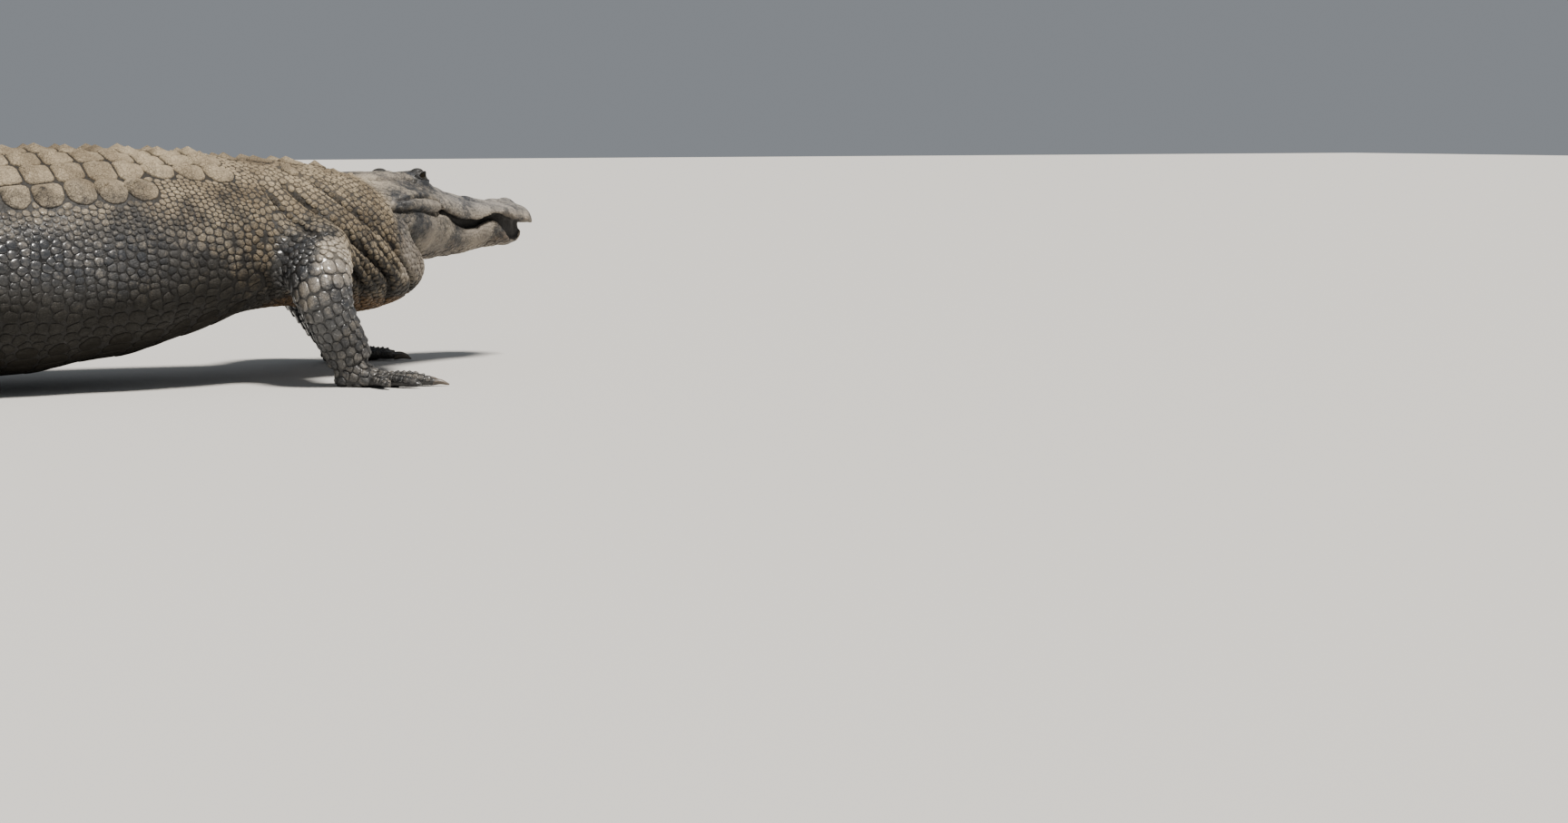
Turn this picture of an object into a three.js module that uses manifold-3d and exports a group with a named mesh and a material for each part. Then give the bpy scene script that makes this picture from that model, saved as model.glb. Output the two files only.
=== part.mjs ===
// American alligator, a heavy old male in mid-stride, as a life-size still model.
// Millimetres, +Z up. The trunk points along +X and the animal's left is +Y.
// The origin is on the floor, below the middle of the whole model's box.
import * as THREE from "three";
import { mergeVertices } from "three/addons/utils/BufferGeometryUtils.js";
import Module from "manifold-3d";

const wasm = await Module();
wasm.setup();

// Driving dimensions.
const headLength = 490; // snout tip to the back of the skull table
const jointGap = 0.3; // between one solid and the next
const boxMiddle = { x: -1051, y: -2 }; // of the whole model, measured from below the shoulders

// Where the back of the skull table stands, at the level of the lips, and how the head is held.
const nape = { x: 140, y: 40, z: 283 };
const headYaw = THREE.MathUtils.degToRad(22); // to the animal's left
const headPitch = THREE.MathUtils.degToRad(4.2); // nose down

// What each kind of surface looks like.
const finish = {
  back: { color: 0x8d8270, roughness: 0.85 },
  flank: { color: 0x4b4a47, roughness: 0.5 },
  throat: { color: 0x75695a, roughness: 0.6 },
  limb: { color: 0x45464a, roughness: 0.4 },
  head: { color: 0x77736b, roughness: 0.7 },
  eye: { color: 0x15120d, roughness: 0.08 },
  claw: { color: 0x2a2723, roughness: 0.35 },
};

const model = new THREE.Group();
model.position.set(-boxMiddle.x, -boxMiddle.y, 0);

// Curves and solids

// A smooth curve through values at places. A firm one never overshoots them.
function through(places, values, firm = true) {
  const last = places.length - 1;
  const rise = (i) => (values[i + 1] - values[i]) / (places[i + 1] - places[i]);
  const slopes = values.map((_, i) => {
    if (i === 0) return rise(0);
    if (i === last) return rise(last - 1);
    const before = rise(i - 1);
    const after = rise(i);
    if (!firm) return (before + after) / 2;
    return before * after <= 0 ? 0 : (2 * before * after) / (before + after);
  });
  return (at) => {
    let i = 0;
    while (i < last - 1 && at > places[i + 1]) i += 1;
    const h = places[i + 1] - places[i];
    const t = THREE.MathUtils.clamp((at - places[i]) / h, 0, 1);
    const u = 1 - t;
    return (
      values[i] * u * u * (1 + 2 * t) +
      values[i + 1] * t * t * (3 - 2 * t) +
      h * t * u * (slopes[i] * u - slopes[i + 1] * t)
    );
  };
}

const point = (x, y, z) => new THREE.Vector3(x, y, z);
const evenly = (from, to, steps) =>
  Array.from({ length: steps + 1 }, (_, i) => from + ((to - from) * i) / steps);

// A closed mesh through rings of points, with flat ends.
function loft(rings) {
  const around = rings[0].length;
  const points = rings.flat();
  const faces = [];
  for (let r = 0; r + 1 < rings.length; r++) {
    for (let i = 0; i < around; i++) {
      const a = r * around + i;
      const b = r * around + ((i + 1) % around);
      faces.push(a, b, b + around, a, b + around, a + around);
    }
  }
  for (const [ring, turned] of [[0, false], [rings.length - 1, true]]) {
    const middle = points.length;
    const centre = new THREE.Vector3();
    rings[ring].forEach((p) => centre.addScaledVector(p, 1 / around));
    points.push(centre);
    for (let i = 0; i < around; i++) {
      const a = ring * around + i;
      const b = ring * around + ((i + 1) % around);
      faces.push(middle, ...(turned ? [a, b] : [b, a]));
    }
  }
  const geometry = new THREE.BufferGeometry().setFromPoints(points);
  geometry.setIndex(faces);
  return facingOut(geometry);
}

function facingOut(geometry) {
  const at = geometry.getAttribute("position");
  const index = geometry.index.array;
  const [a, b, c] = [new THREE.Vector3(), new THREE.Vector3(), new THREE.Vector3()];
  let volume = 0;
  for (let i = 0; i < index.length; i += 3) {
    a.fromBufferAttribute(at, index[i]);
    b.fromBufferAttribute(at, index[i + 1]);
    c.fromBufferAttribute(at, index[i + 2]);
    volume += a.dot(b.cross(c));
  }
  if (volume < 0) {
    for (let i = 0; i < index.length; i += 3) {
      [index[i + 1], index[i + 2]] = [index[i + 2], index[i + 1]];
    }
  }
  return geometry;
}

function solid(geometry) {
  const bare = geometry.index ? geometry.toNonIndexed() : geometry.clone();
  bare.deleteAttribute("normal");
  bare.deleteAttribute("uv");
  const merged = mergeVertices(bare, 1e-3);
  return new wasm.Manifold(
    new wasm.Mesh({
      numProp: 3,
      vertProperties: merged.getAttribute("position").array,
      triVerts: new Uint32Array(merged.index.array),
    }),
  );
}

function geometryOf(manifold) {
  const made = manifold.getMesh();
  return new THREE.BufferGeometry()
    .setAttribute("position", new THREE.BufferAttribute(made.vertProperties, 3))
    .setIndex(new THREE.BufferAttribute(made.triVerts, 1));
}

// A solid that is larger all round by a little over the joint gap, to cut its neighbour with.
function grown(manifold, by = jointGap * 1.3) {
  const { vertProperties: at, triVerts } = manifold.getMesh();
  const corner = (vertex) => new THREE.Vector3().fromArray(at, vertex * 3);
  const facing = Array.from({ length: at.length / 3 }, () => []);
  for (let i = 0; i < triVerts.length; i += 3) {
    const trio = [...triVerts.slice(i, i + 3)];
    const normal = new THREE.Triangle(...trio.map(corner)).getNormal(new THREE.Vector3());
    trio.forEach((vertex, k) => {
      const a = corner(trio[(k + 1) % 3]).sub(corner(vertex));
      const b = corner(trio[(k + 2) % 3]).sub(corner(vertex));
      facing[vertex].push({ normal, angle: a.angleTo(b) });
    });
  }
  const moved = new Float32Array(at);
  facing.forEach((faces, vertex) => {
    const out = new THREE.Vector3();
    for (const { normal, angle } of faces) out.addScaledVector(normal, angle);
    out.normalize();
    const least = Math.min(...faces.map(({ normal }) => normal.dot(out)));
    corner(vertex).addScaledVector(out, by / Math.max(least, 0.3)).toArray(moved, vertex * 3);
  });
  return new wasm.Manifold(new wasm.Mesh({ numProp: 3, vertProperties: moved, triVerts }));
}

function add(name, manifold, look) {
  const mesh = new THREE.Mesh(geometryOf(manifold), new THREE.MeshStandardMaterial(look));
  mesh.name = name;
  model.add(mesh);
}

// Everything below the floor, which is cut away so that soles and tail rest on small flats.
const ground = solid(new THREE.BoxGeometry(6000, 3000, 400).translate(-1000, 0, -200));

// Trunk, neck and tail

// Landmarks from the tail's tip to the throat. Each has its place on the floor plan, the heights
// of the back, the belly and the widest level, the half width, and how square its section is.
const landmarks = [
  { x: -2700, y: -235, top: 17, low: -3, wide: 7, half: 6, above: 2, below: 2 },
  { x: -2440, y: -150, top: 66, low: -3, wide: 26, half: 19, above: 1.8, below: 2.4 },
  { x: -2140, y: -30, top: 112, low: -4, wide: 44, half: 38, above: 1.8, below: 2.4 },
  { x: -1840, y: 60, top: 164, low: -4, wide: 66, half: 62, above: 1.8, below: 2.4 },
  { x: -1560, y: 84, top: 220, low: -4, wide: 92, half: 90, above: 1.9, below: 2.3 },
  { x: -1310, y: 56, top: 274, low: -2, wide: 120, half: 116, above: 2, below: 2.2 },
  { x: -1100, y: 18, top: 322, low: 14, wide: 155, half: 143, above: 2.1, below: 2.1 },
  { x: -930, y: 0, top: 368, low: 34, wide: 182, half: 180, above: 2.1, below: 2.1 },
  { x: -750, y: 0, top: 400, low: 24, wide: 188, half: 226, above: 2.1, below: 2.2 },
  { x: -540, y: 0, top: 420, low: 24, wide: 190, half: 250, above: 2, below: 2.2 },
  { x: -340, y: 0, top: 423, low: 46, wide: 200, half: 248, above: 2, below: 2.1 },
  { x: -190, y: 0, top: 414, low: 84, wide: 212, half: 230, above: 2, below: 2.1 },
  { x: -60, y: 0, top: 404, low: 124, wide: 226, half: 203, above: 2, below: 2.1 },
  { x: 20, y: 5, top: 399, low: 128, wide: 232, half: 188, above: 2, below: 2.1 },
  { x: 90, y: 20, top: 388, low: 112, wide: 228, half: 178, above: 2, below: 2.2 },
  { x: 140, y: 38, top: 370, low: 110, wide: 215, half: 172, above: 2, below: 2.2 },
  { x: 186, y: 58, top: 300, low: 120, wide: 200, half: 160, above: 2, below: 2.2 },
  { x: 228, y: 75, top: 258, low: 138, wide: 194, half: 128, above: 2, below: 2.1 },
  { x: 262, y: 89, top: 214, low: 176, wide: 194, half: 50, above: 2, below: 2 },
];
const atLandmark = [0];
landmarks.slice(1).forEach((mark, i) => {
  const step = Math.hypot(mark.x - landmarks[i].x, mark.y - landmarks[i].y);
  atLandmark.push(atLandmark[i] + step);
});
const measure = (key, firm = true) =>
  through(atLandmark, landmarks.map((mark) => mark[key]), firm);
const body = {
  x: measure("x", false),
  y: measure("y", false),
  top: measure("top"),
  low: measure("low"),
  wide: measure("wide"),
  half: measure("half"),
  above: measure("above"),
  below: measure("below"),
};
const placeOf = (x) => atLandmark[landmarks.findIndex((mark) => mark.x === x)];
const bodyEnd = atLandmark[atLandmark.length - 1];

// The body's surface: along is measured from the tail's tip, and turn goes once round the
// section from the left side over the back.
function bodyPoint(along, turn) {
  const step = 1;
  const ahead = new THREE.Vector2(
    body.x(along + step) - body.x(along - step),
    body.y(along + step) - body.y(along - step),
  ).normalize();
  const c = Math.cos(turn);
  const s = Math.sin(turn);
  const square = s > 0 ? body.above(along) : body.below(along);
  const wide = body.wide(along);
  const lift = s > 0 ? body.top(along) - wide : wide - body.low(along);
  const side = Math.sign(c) * Math.abs(c) ** (2 / square) * body.half(along);
  const height = wide + Math.sign(s) * Math.abs(s) ** (2 / square) * lift;
  return new THREE.Vector3(body.x(along) - ahead.y * side, body.y(along) + ahead.x * side, height);
}

function bodyLoft(from, to, rings, sides) {
  const turns = evenly(0, 2 * Math.PI, sides).slice(0, -1);
  return solid(
    loft(evenly(from, to, rings).map((along) => turns.map((turn) => bodyPoint(along, turn)))),
  );
}

// The tail's crest: two rows of upright scutes that close in on each other and go on as one row.
const crest = { first: placeOf(-1100), join: placeOf(-1840) - 60, last: 60, pitch: 55, taper: 0.985 };

// Where each scute of a row begins, from the vent backward. They get shorter toward the tip.
const scuteFronts = [crest.first];
while (scuteFronts[scuteFronts.length - 1] > crest.last) {
  const count = scuteFronts.length;
  scuteFronts.push(scuteFronts[count - 1] - crest.pitch * crest.taper ** count);
}

// One row of the crest, as a fin with a sawtooth top, on one side or on the middle line.
function crestRow(fronts, side) {
  const rings = [];
  const ring = (along, part) => {
    const { first, join, last } = crest;
    const height = side
      ? THREE.MathUtils.mapLinear(along, join, first, 38, 12)
      : THREE.MathUtils.mapLinear(along, last, join, 18, 48);
    const apart = THREE.MathUtils.mapLinear(along, join, first, 9, 0.42 * body.half(first));
    const thick = THREE.MathUtils.clamp(body.half(along) * 0.14, 4, 9);
    const seat = bodyPoint(along, Math.acos((side * apart) / body.half(along)));
    const out = bodyPoint(along, 0).sub(bodyPoint(along, Math.PI)).normalize();
    const corner = (across, up) => seat.clone().addScaledVector(out, across).setZ(seat.z + up);
    const top = height * part;
    rings.push([corner(thick, -10), corner(0, top), corner(-thick, -10)]);
  };
  fronts.slice(0, -1).forEach((front, i) => {
    const long = front - fronts[i + 1];
    ring(front - 2, 0.2);
    ring(front - long * 0.82, 1);
  });
  ring(fronts[fronts.length - 1] + 2, 0.2);
  return solid(loft(rings));
}

function crestRows(from, to) {
  const fronts = scuteFronts.filter((front) => front >= from - 1 && front <= to + 1);
  const pairs = fronts.filter((front) => front >= crest.join);
  const singles = fronts.filter((front) => front <= (pairs.length > 1 ? Math.min(...pairs) : to + 1));
  return [
    ...(pairs.length > 1 ? [crestRow(pairs, 1), crestRow(pairs, -1)] : []),
    ...(singles.length > 1 ? [crestRow(singles, 0)] : []),
  ];
}

// The lengths that the body is divided into.
const divisions = [
  { name: "tail_tip", from: 0, to: scuteFronts[20], rings: 6, finish: finish.flank },
  { name: "tail_rear", from: scuteFronts[20], to: scuteFronts[8], rings: 5, finish: finish.flank },
  { name: "tail_base", from: scuteFronts[8], to: crest.first, rings: 5, finish: finish.flank },
  { name: "trunk_rear", from: placeOf(-1100), to: placeOf(-750), rings: 7, finish: finish.back },
  { name: "trunk_middle", from: placeOf(-750), to: placeOf(-340), rings: 7, finish: finish.back },
  { name: "trunk_front", from: placeOf(-340), to: placeOf(20), rings: 7, finish: finish.back },
  { name: "neck", from: placeOf(20), to: bodyEnd, rings: 8, finish: finish.throat },
];

// They are made first, because head and limbs end where they meet them.
const lengths = divisions.map(({ name, from, to, rings, finish: skin }) => {
  const isTail = to <= crest.first;
  let made = bodyLoft(from + jointGap / 2, to - jointGap / 2, rings, isTail ? 18 : 24);
  if (isTail) for (const row of crestRows(from, to)) made = made.add(row);
  return { name, made: made.subtract(ground), skin };
});
const trunks = lengths.slice(2).map(({ made }) => made);
const cutClear = (manifold, neighbours) =>
  neighbours.reduce((left, neighbour) => left.subtract(grown(neighbour)), manifold);

// Head and jaw, in a frame of their own: forward from the skull's back, left, up from the lips

const headFrame = new THREE.Matrix4()
  .makeTranslation(nape.x, nape.y, nape.z)
  .multiply(new THREE.Matrix4().makeRotationZ(headYaw))
  .multiply(new THREE.Matrix4().makeRotationY(headPitch));

// Places along the head are shares of its length, from the snout's tip.
const share = (places, values, firm = true) => {
  const curve = through(places, values, firm);
  return (at) => curve(at) * headLength;
};
const skull = {
  half: share(
    [0, 0.012, 0.04, 0.09, 0.15, 0.24, 0.36, 0.46, 0.56, 0.68, 0.8, 0.92, 1, 1.06],
    [0.03, 0.07, 0.112, 0.142, 0.15, 0.188, 0.178, 0.19, 0.212, 0.242, 0.278, 0.3, 0.27, 0.2],
  ),
  crown: share(
    [0, 0.02, 0.05, 0.09, 0.14, 0.2, 0.3, 0.42, 0.52, 0.6, 0.68, 0.8, 0.92, 1, 1.06],
    [0.055, 0.1, 0.124, 0.134, 0.13, 0.12, 0.12, 0.13, 0.146, 0.166, 0.182, 0.188, 0.184, 0.172, 0.14],
  ),
  cheek: share(
    [0, 0.05, 0.1, 0.3, 0.5, 0.66, 0.8, 0.92, 1.06],
    [0.045, 0.1, 0.112, 0.1, 0.122, 0.14, 0.15, 0.145, 0.1],
  ),
  table: share([0, 0.5, 0.62, 0.72, 0.86, 1, 1.06], [0.02, 0.06, 0.1, 0.14, 0.152, 0.15, 0.12]),
  lip: share(
    [0, 0.06, 0.11, 0.15, 0.22, 0.28, 0.33, 0.37, 0.41, 0.46, 0.52, 0.6, 0.7, 0.75, 0.8, 0.9, 1.06],
    [
      0.014, 0.008, 0.012, 0.024, 0.034, 0.046, 0.056, 0.045, 0.03, 0.024, 0.026, 0.04, 0.055, 0.047,
      0.036, 0.038, 0.04,
    ],
  ),
};
const mandible = {
  half: share(
    [0.05, 0.065, 0.1, 0.15, 0.24, 0.36, 0.46, 0.56, 0.68, 0.8, 0.92, 1.04],
    [0.04, 0.07, 0.102, 0.124, 0.152, 0.156, 0.168, 0.192, 0.234, 0.274, 0.29, 0.24],
  ),
  rim: share(
    [0.05, 0.13, 0.195, 0.245, 0.28, 0.31, 0.34, 0.37, 0.4, 0.435, 0.48, 0.54, 0.62, 0.7, 0.78, 1.04],
    [
      -0.028, -0.033, -0.036, -0.026, -0.003, 0.021, 0.029, 0.025, 0.01, -0.005, -0.008, 0.003, 0.025,
      0.042, 0.032, 0.034,
    ],
  ),
  keel: share(
    [0.05, 0.09, 0.14, 0.21, 0.3, 0.4, 0.5, 0.6, 0.7, 0.8, 0.92, 1.04],
    [-0.04, -0.048, -0.052, -0.058, -0.082, -0.103, -0.12, -0.138, -0.145, -0.142, -0.126, -0.1],
  ),
};
const headPoint = (at, left, up) =>
  new THREE.Vector3((1 - at) * headLength, left, up).applyMatrix4(headFrame);

// How far a rounded box of that half width and height reaches from its middle, at that slant.
const boxReach = (slant, half, high, square) =>
  (Math.abs(Math.cos(slant) / half) ** square + Math.abs(Math.sin(slant) / high) ** square) **
  (-1 / square);

const eye = { at: 0.695, left: 49, up: 86, radius: 16, brow: 11 };
const nostril = { at: 0.08, rise: 3 };

// A smooth hump of height 1, that wide.
const bump = (away, wide) => Math.exp(-((away / wide) ** 2));

// A section of the upper head: over the top from the left lip to the right, then the palate.
function skullRing(at, sides) {
  const lip = skull.lip(at);
  const half = skull.half(at);
  const ring = evenly(0, Math.PI, sides).map((slant) => {
    const low = boxReach(slant, half, skull.cheek(at) - lip, 2.6);
    const high = boxReach(slant, skull.table(at), skull.crown(at) - lip, 4);
    const lean = Math.PI / 2 - Math.abs(slant - Math.PI / 2);
    const brow = eye.brow * bump(at - eye.at, 0.05) * bump(lean - Math.atan2(eye.up, eye.left), 0.26);
    const snout = nostril.rise * bump(at - nostril.at, 0.03) * bump(slant - Math.PI / 2, 0.5);
    const reach = (low ** 10 + high ** 10) ** (1 / 10) + brow + snout;
    return headPoint(at, reach * Math.cos(slant), lip + reach * Math.sin(slant));
  });
  const gum = 0.84 * half;
  const roof = Math.max(mandible.rim(at), lip) + 3;
  ring.push(headPoint(at, -gum, roof), headPoint(at, gum, roof));
  return ring;
}

// A section of the lower jaw: from the left rim under the keel to the right rim.
function mandibleRing(at, sides) {
  const rim = mandible.rim(at);
  return evenly(0, Math.PI, sides).map((slant) => {
    const reach = boxReach(slant, mandible.half(at), rim - mandible.keel(at), 2.5);
    return headPoint(at, reach * Math.cos(slant), rim - reach * Math.sin(slant));
  });
}

const headSolid = solid(loft(evenly(0, 1, 18).map((t) => skullRing(1.05 * t ** 1.3, 14))));
const jawSolid = solid(loft(evenly(0, 1, 18).map((t) => mandibleRing(0.05 + 0.98 * t ** 1.15, 8))));

// Limbs

// A bent tube through joints. Its radii are curves over the joints' numbers.
function tube(joints, places, radii, deeper = radii) {
  return {
    path: new THREE.CatmullRomCurve3(joints, false, "centripetal"),
    last: joints.length - 1,
    across: through(places, radii),
    deep: through(places, deeper),
  };
}

// Rings round a tube at some places, each turned as little as can be from the one before.
function tubeRings({ path, last, across, deep }, places, sides) {
  let side = null;
  return places.map((at) => {
    const middle = path.getPoint(at / last);
    const ahead = path.getTangent(at / last);
    side ??= point(0, 0, 1).cross(ahead);
    side = side.addScaledVector(ahead, -side.dot(ahead)).normalize();
    const up = ahead.clone().cross(side);
    return evenly(0, 2 * Math.PI, sides)
      .slice(0, -1)
      .map((turn) =>
        middle
          .clone()
          .addScaledVector(side, Math.cos(turn) * across(at))
          .addScaledVector(up, Math.sin(turn) * deep(at)),
      );
  });
}

// Each limb: where its joints are, how thick it is there, and where its foot points.
const foreShape = {
  places: [0, 0.5, 1, 1.4, 2],
  across: [58, 62, 55, 43, 35],
  deep: [66, 62, 56, 44, 35],
  toeLengths: [58, 76, 84, 76, 56],
  toeAngles: [52, 27, 3, -24, -56],
  toeThick: 12,
  palm: { long: 66, wide: 40, high: 27 },
};
const hindShape = {
  places: [0, 0.5, 1, 1.4, 2],
  across: [66, 86, 68, 49, 37],
  deep: [72, 92, 68, 50, 37],
  toeLengths: [92, 118, 122, 104],
  toeAngles: [24, 8, -8, -26],
  toeThick: 13,
  palm: { long: 118, wide: 46, high: 29 },
};
const limbs = [
  {
    name: "right_fore",
    shape: foreShape,
    side: -1,
    joints: [point(30, -110, 262), point(-14, -252, 176), point(42, -250, 40)],
    heading: -32,
  },
  {
    name: "left_fore",
    shape: foreShape,
    side: 1,
    joints: [point(20, 112, 244), point(142, 268, 170), point(228, 262, 40)],
    heading: 34,
  },
  {
    name: "right_hind",
    shape: hindShape,
    side: -1,
    joints: [point(-985, -70, 222), point(-838, -266, 214), point(-946, -304, 50)],
    heading: -26,
  },
  {
    name: "left_hind",
    shape: hindShape,
    side: 1,
    joints: [point(-985, 70, 222), point(-905, 280, 198), point(-1096, 302, 52)],
    heading: 24,
  },
];
const clawed = 3; // inner toes that carry a claw
const partNames = { fore: ["upper_arm", "forearm", "hand"], hind: ["thigh", "shank", "foot"] };
const palmAcross = through([-0.4, 0, 0.5, 1], [0.62, 0.86, 0.98, 0.95]);
const palmHeight = through([-0.4, 0, 0.5, 1], [1.1, 1.4, 0.8, 0.5]);

// The palm or sole block, from behind the wrist to the knuckles.
function palmBlock({ long, wide, high }, onward) {
  const ring = (t, turn) =>
    onward(
      long * t,
      Math.cos(turn) * wide * palmAcross(t),
      high * palmHeight(t) * (0.72 + Math.sin(turn)),
    );
  const turns = evenly(0, 2 * Math.PI, 10).slice(0, -1);
  return solid(loft(evenly(-0.4, 1, 4).map((t) => turns.map((turn) => ring(t, turn)))));
}

// One toe: its tube, and a way to reach a place along it at some height over the floor.
function toeOf(shape, side, onward, i) {
  const { long, wide } = shape.palm;
  const length = shape.toeLengths[i];
  const thick = shape.toeThick;
  const slant = -side * THREE.MathUtils.degToRad(shape.toeAngles[i]);
  const spread = 1 - (2 * i) / (shape.toeLengths.length - 1);
  const root = { forward: long * (0.86 - 0.16 * spread ** 2), left: -side * spread * wide * 0.74 };
  const along = (reach, up) =>
    onward(root.forward + reach * Math.cos(slant), root.left + reach * Math.sin(slant), up);
  const bone = tube(
    [along(-14, thick - 2), along(length * 0.45, thick), along(length, thick * 0.6)],
    [0, 1, 1.6, 2],
    [1, 0.9, 0.78, 0.56].map((part) => part * thick),
  );
  return { bone, along, length, thick };
}

// The skin between two toes, out to a little over half their length.
function webBetween(a, b) {
  const corners = [
    a.along(-6, 0),
    a.along(a.length * 0.6, 0),
    b.along(b.length * 0.6, 0),
    b.along(-6, 0),
  ];
  const outline = new THREE.Shape(corners.map((p) => new THREE.Vector2(p.x, p.y)));
  return solid(new THREE.ExtrudeGeometry(outline, { depth: 7, bevelEnabled: false }).translate(0, 0, 4));
}

// A claw that leaves the toe's end a little upward and curves down to the floor.
function clawOn({ along, length, thick }) {
  const places = [
    along(length + jointGap, thick * 0.55),
    along(length + 15, thick * 0.62),
    along(length + 30, 2.5),
  ];
  const horn = tube(places, [0, 1, 2], [thick * 0.46, thick * 0.38, 0.9]);
  return solid(loft(tubeRings(horn, [0, 1.1, 2], 6)));
}

for (const { name, shape, side, joints, heading } of limbs) {
  const [upper, lower, foot] = partNames[name.split("_")[1]];
  const limb = tube(joints, shape.places, shape.across, shape.deep);
  const rings = tubeRings(limb, evenly(0, 2, 10), 12);
  const onPast = limb.path.getTangent(0.5).multiplyScalar(jointGap);
  const shinStart = rings[5].map((p) => p.clone().add(onPast));
  const shin = solid(loft([shinStart, ...rings.slice(6)]));
  add(`${name}_${upper}`, cutClear(solid(loft(rings.slice(0, 6))), [...trunks, jawSolid]), finish.limb);
  add(`${name}_${lower}`, cutClear(shin, trunks), finish.limb);

  const way = THREE.MathUtils.degToRad(heading);
  const wrist = joints[2];
  const onward = (forward, left, up) =>
    point(
      wrist.x + forward * Math.cos(way) - left * Math.sin(way),
      wrist.y + forward * Math.sin(way) + left * Math.cos(way),
      up,
    );
  const toes = shape.toeLengths.map((_, i) => toeOf(shape, side, onward, i));
  let built = palmBlock(shape.palm, onward);
  for (const { bone } of toes) built = built.add(solid(loft(tubeRings(bone, [0, 1.2, 2], 6))));
  if (shape === hindShape) {
    for (let i = 0; i + 1 < toes.length; i++) built = built.add(webBetween(toes[i], toes[i + 1]));
  }
  built = built.subtract(grown(shin)).subtract(ground);
  add(`${name}_${foot}`, built, finish.limb);
  toes.slice(0, clawed).forEach((toe, i) => {
    add(`${name}_claw_${i + 1}`, cutClear(clawOn(toe), [built]), finish.claw);
  });
}

// Putting the body and the head together

const eyeballs = [1, -1].map((side) => {
  const seat = headPoint(eye.at, side * eye.left, eye.up);
  return new THREE.SphereGeometry(eye.radius, 10, 7).translate(seat.x, seat.y, seat.z);
});
eyeballs.forEach((ball, i) => add(i ? "eye_right" : "eye_left", solid(ball), finish.eye));

add("head", cutClear(headSolid, [...eyeballs.map(solid), jawSolid]), finish.head);
add("jaw", jawSolid, finish.head);

for (const { name, made, skin } of lengths) {
  add(name, name === "neck" ? cutClear(made, [headSolid, jawSolid]) : made, skin);
}

export default model;
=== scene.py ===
import math

import bmesh
import bpy
import numpy as np
from mathutils import Matrix, Vector
from mathutils.bvhtree import BVHTree
from mathutils.kdtree import KDTree


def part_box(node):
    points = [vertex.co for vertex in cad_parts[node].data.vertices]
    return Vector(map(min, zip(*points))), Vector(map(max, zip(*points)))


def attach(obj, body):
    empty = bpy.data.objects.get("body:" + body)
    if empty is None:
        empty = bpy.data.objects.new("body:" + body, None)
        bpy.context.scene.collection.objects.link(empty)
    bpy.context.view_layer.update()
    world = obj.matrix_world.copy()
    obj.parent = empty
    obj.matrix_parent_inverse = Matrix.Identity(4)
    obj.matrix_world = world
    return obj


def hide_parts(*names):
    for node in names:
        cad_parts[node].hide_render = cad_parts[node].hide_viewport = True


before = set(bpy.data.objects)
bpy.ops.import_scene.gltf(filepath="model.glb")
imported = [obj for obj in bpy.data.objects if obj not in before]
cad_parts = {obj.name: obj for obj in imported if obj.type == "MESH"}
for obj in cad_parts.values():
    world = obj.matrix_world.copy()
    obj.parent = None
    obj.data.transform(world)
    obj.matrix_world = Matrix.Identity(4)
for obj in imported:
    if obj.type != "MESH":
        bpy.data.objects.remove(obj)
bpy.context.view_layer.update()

# The hide
# One unbroken skin over trunk, neck, tail, head and limbs. It is thick, soft between the scales
# and tight over the skull, and it lies under the scales by their depth.
MM = 0.001
MIDDLE = np.array([1.051, 0.002, 0.0])  # from below the shoulders to the middle of the box
COAT = {"back": 0.009, "side": 0.0045, "belly": 0.003}  # how deep the skin lies under the outline


def through(places, values, firm=True):
    """A smooth curve through values at places. A firm one never overshoots them."""
    x, y = np.array(places, float), np.array(values, float)
    rise = np.diff(y) / np.diff(x)
    a, b = rise[:-1], rise[1:]
    mean = np.where(a * b <= 0, 0, 2 * a * b / np.where(a + b == 0, 1, a + b)) if firm else (a + b) / 2
    slopes = np.concatenate([[rise[0]], mean, [rise[-1]]])

    def curve(at):
        at = np.clip(np.asarray(at, float), x[0], x[-1])
        i = np.clip(np.searchsorted(x, at, side="right") - 1, 0, len(x) - 2)
        h = x[i + 1] - x[i]
        t = (at - x[i]) / h
        u = 1 - t
        ends = y[i] * u * u * (1 + 2 * t) + y[i + 1] * t * t * (3 - 2 * t)
        return ends + h * t * u * (slopes[i] * u - slopes[i + 1] * t)

    return curve


def smooth(low, high, value):
    """0 below low, 1 above high and an even slope between them."""
    t = np.clip((np.asarray(value, float) - low) / (high - low), 0, 1)
    return t * t * (3 - 2 * t)


def bump(away, wide):
    """1 at no distance, fading over about twice that width."""
    return np.exp(-((np.asarray(away, float) / wide) ** 2))


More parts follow.
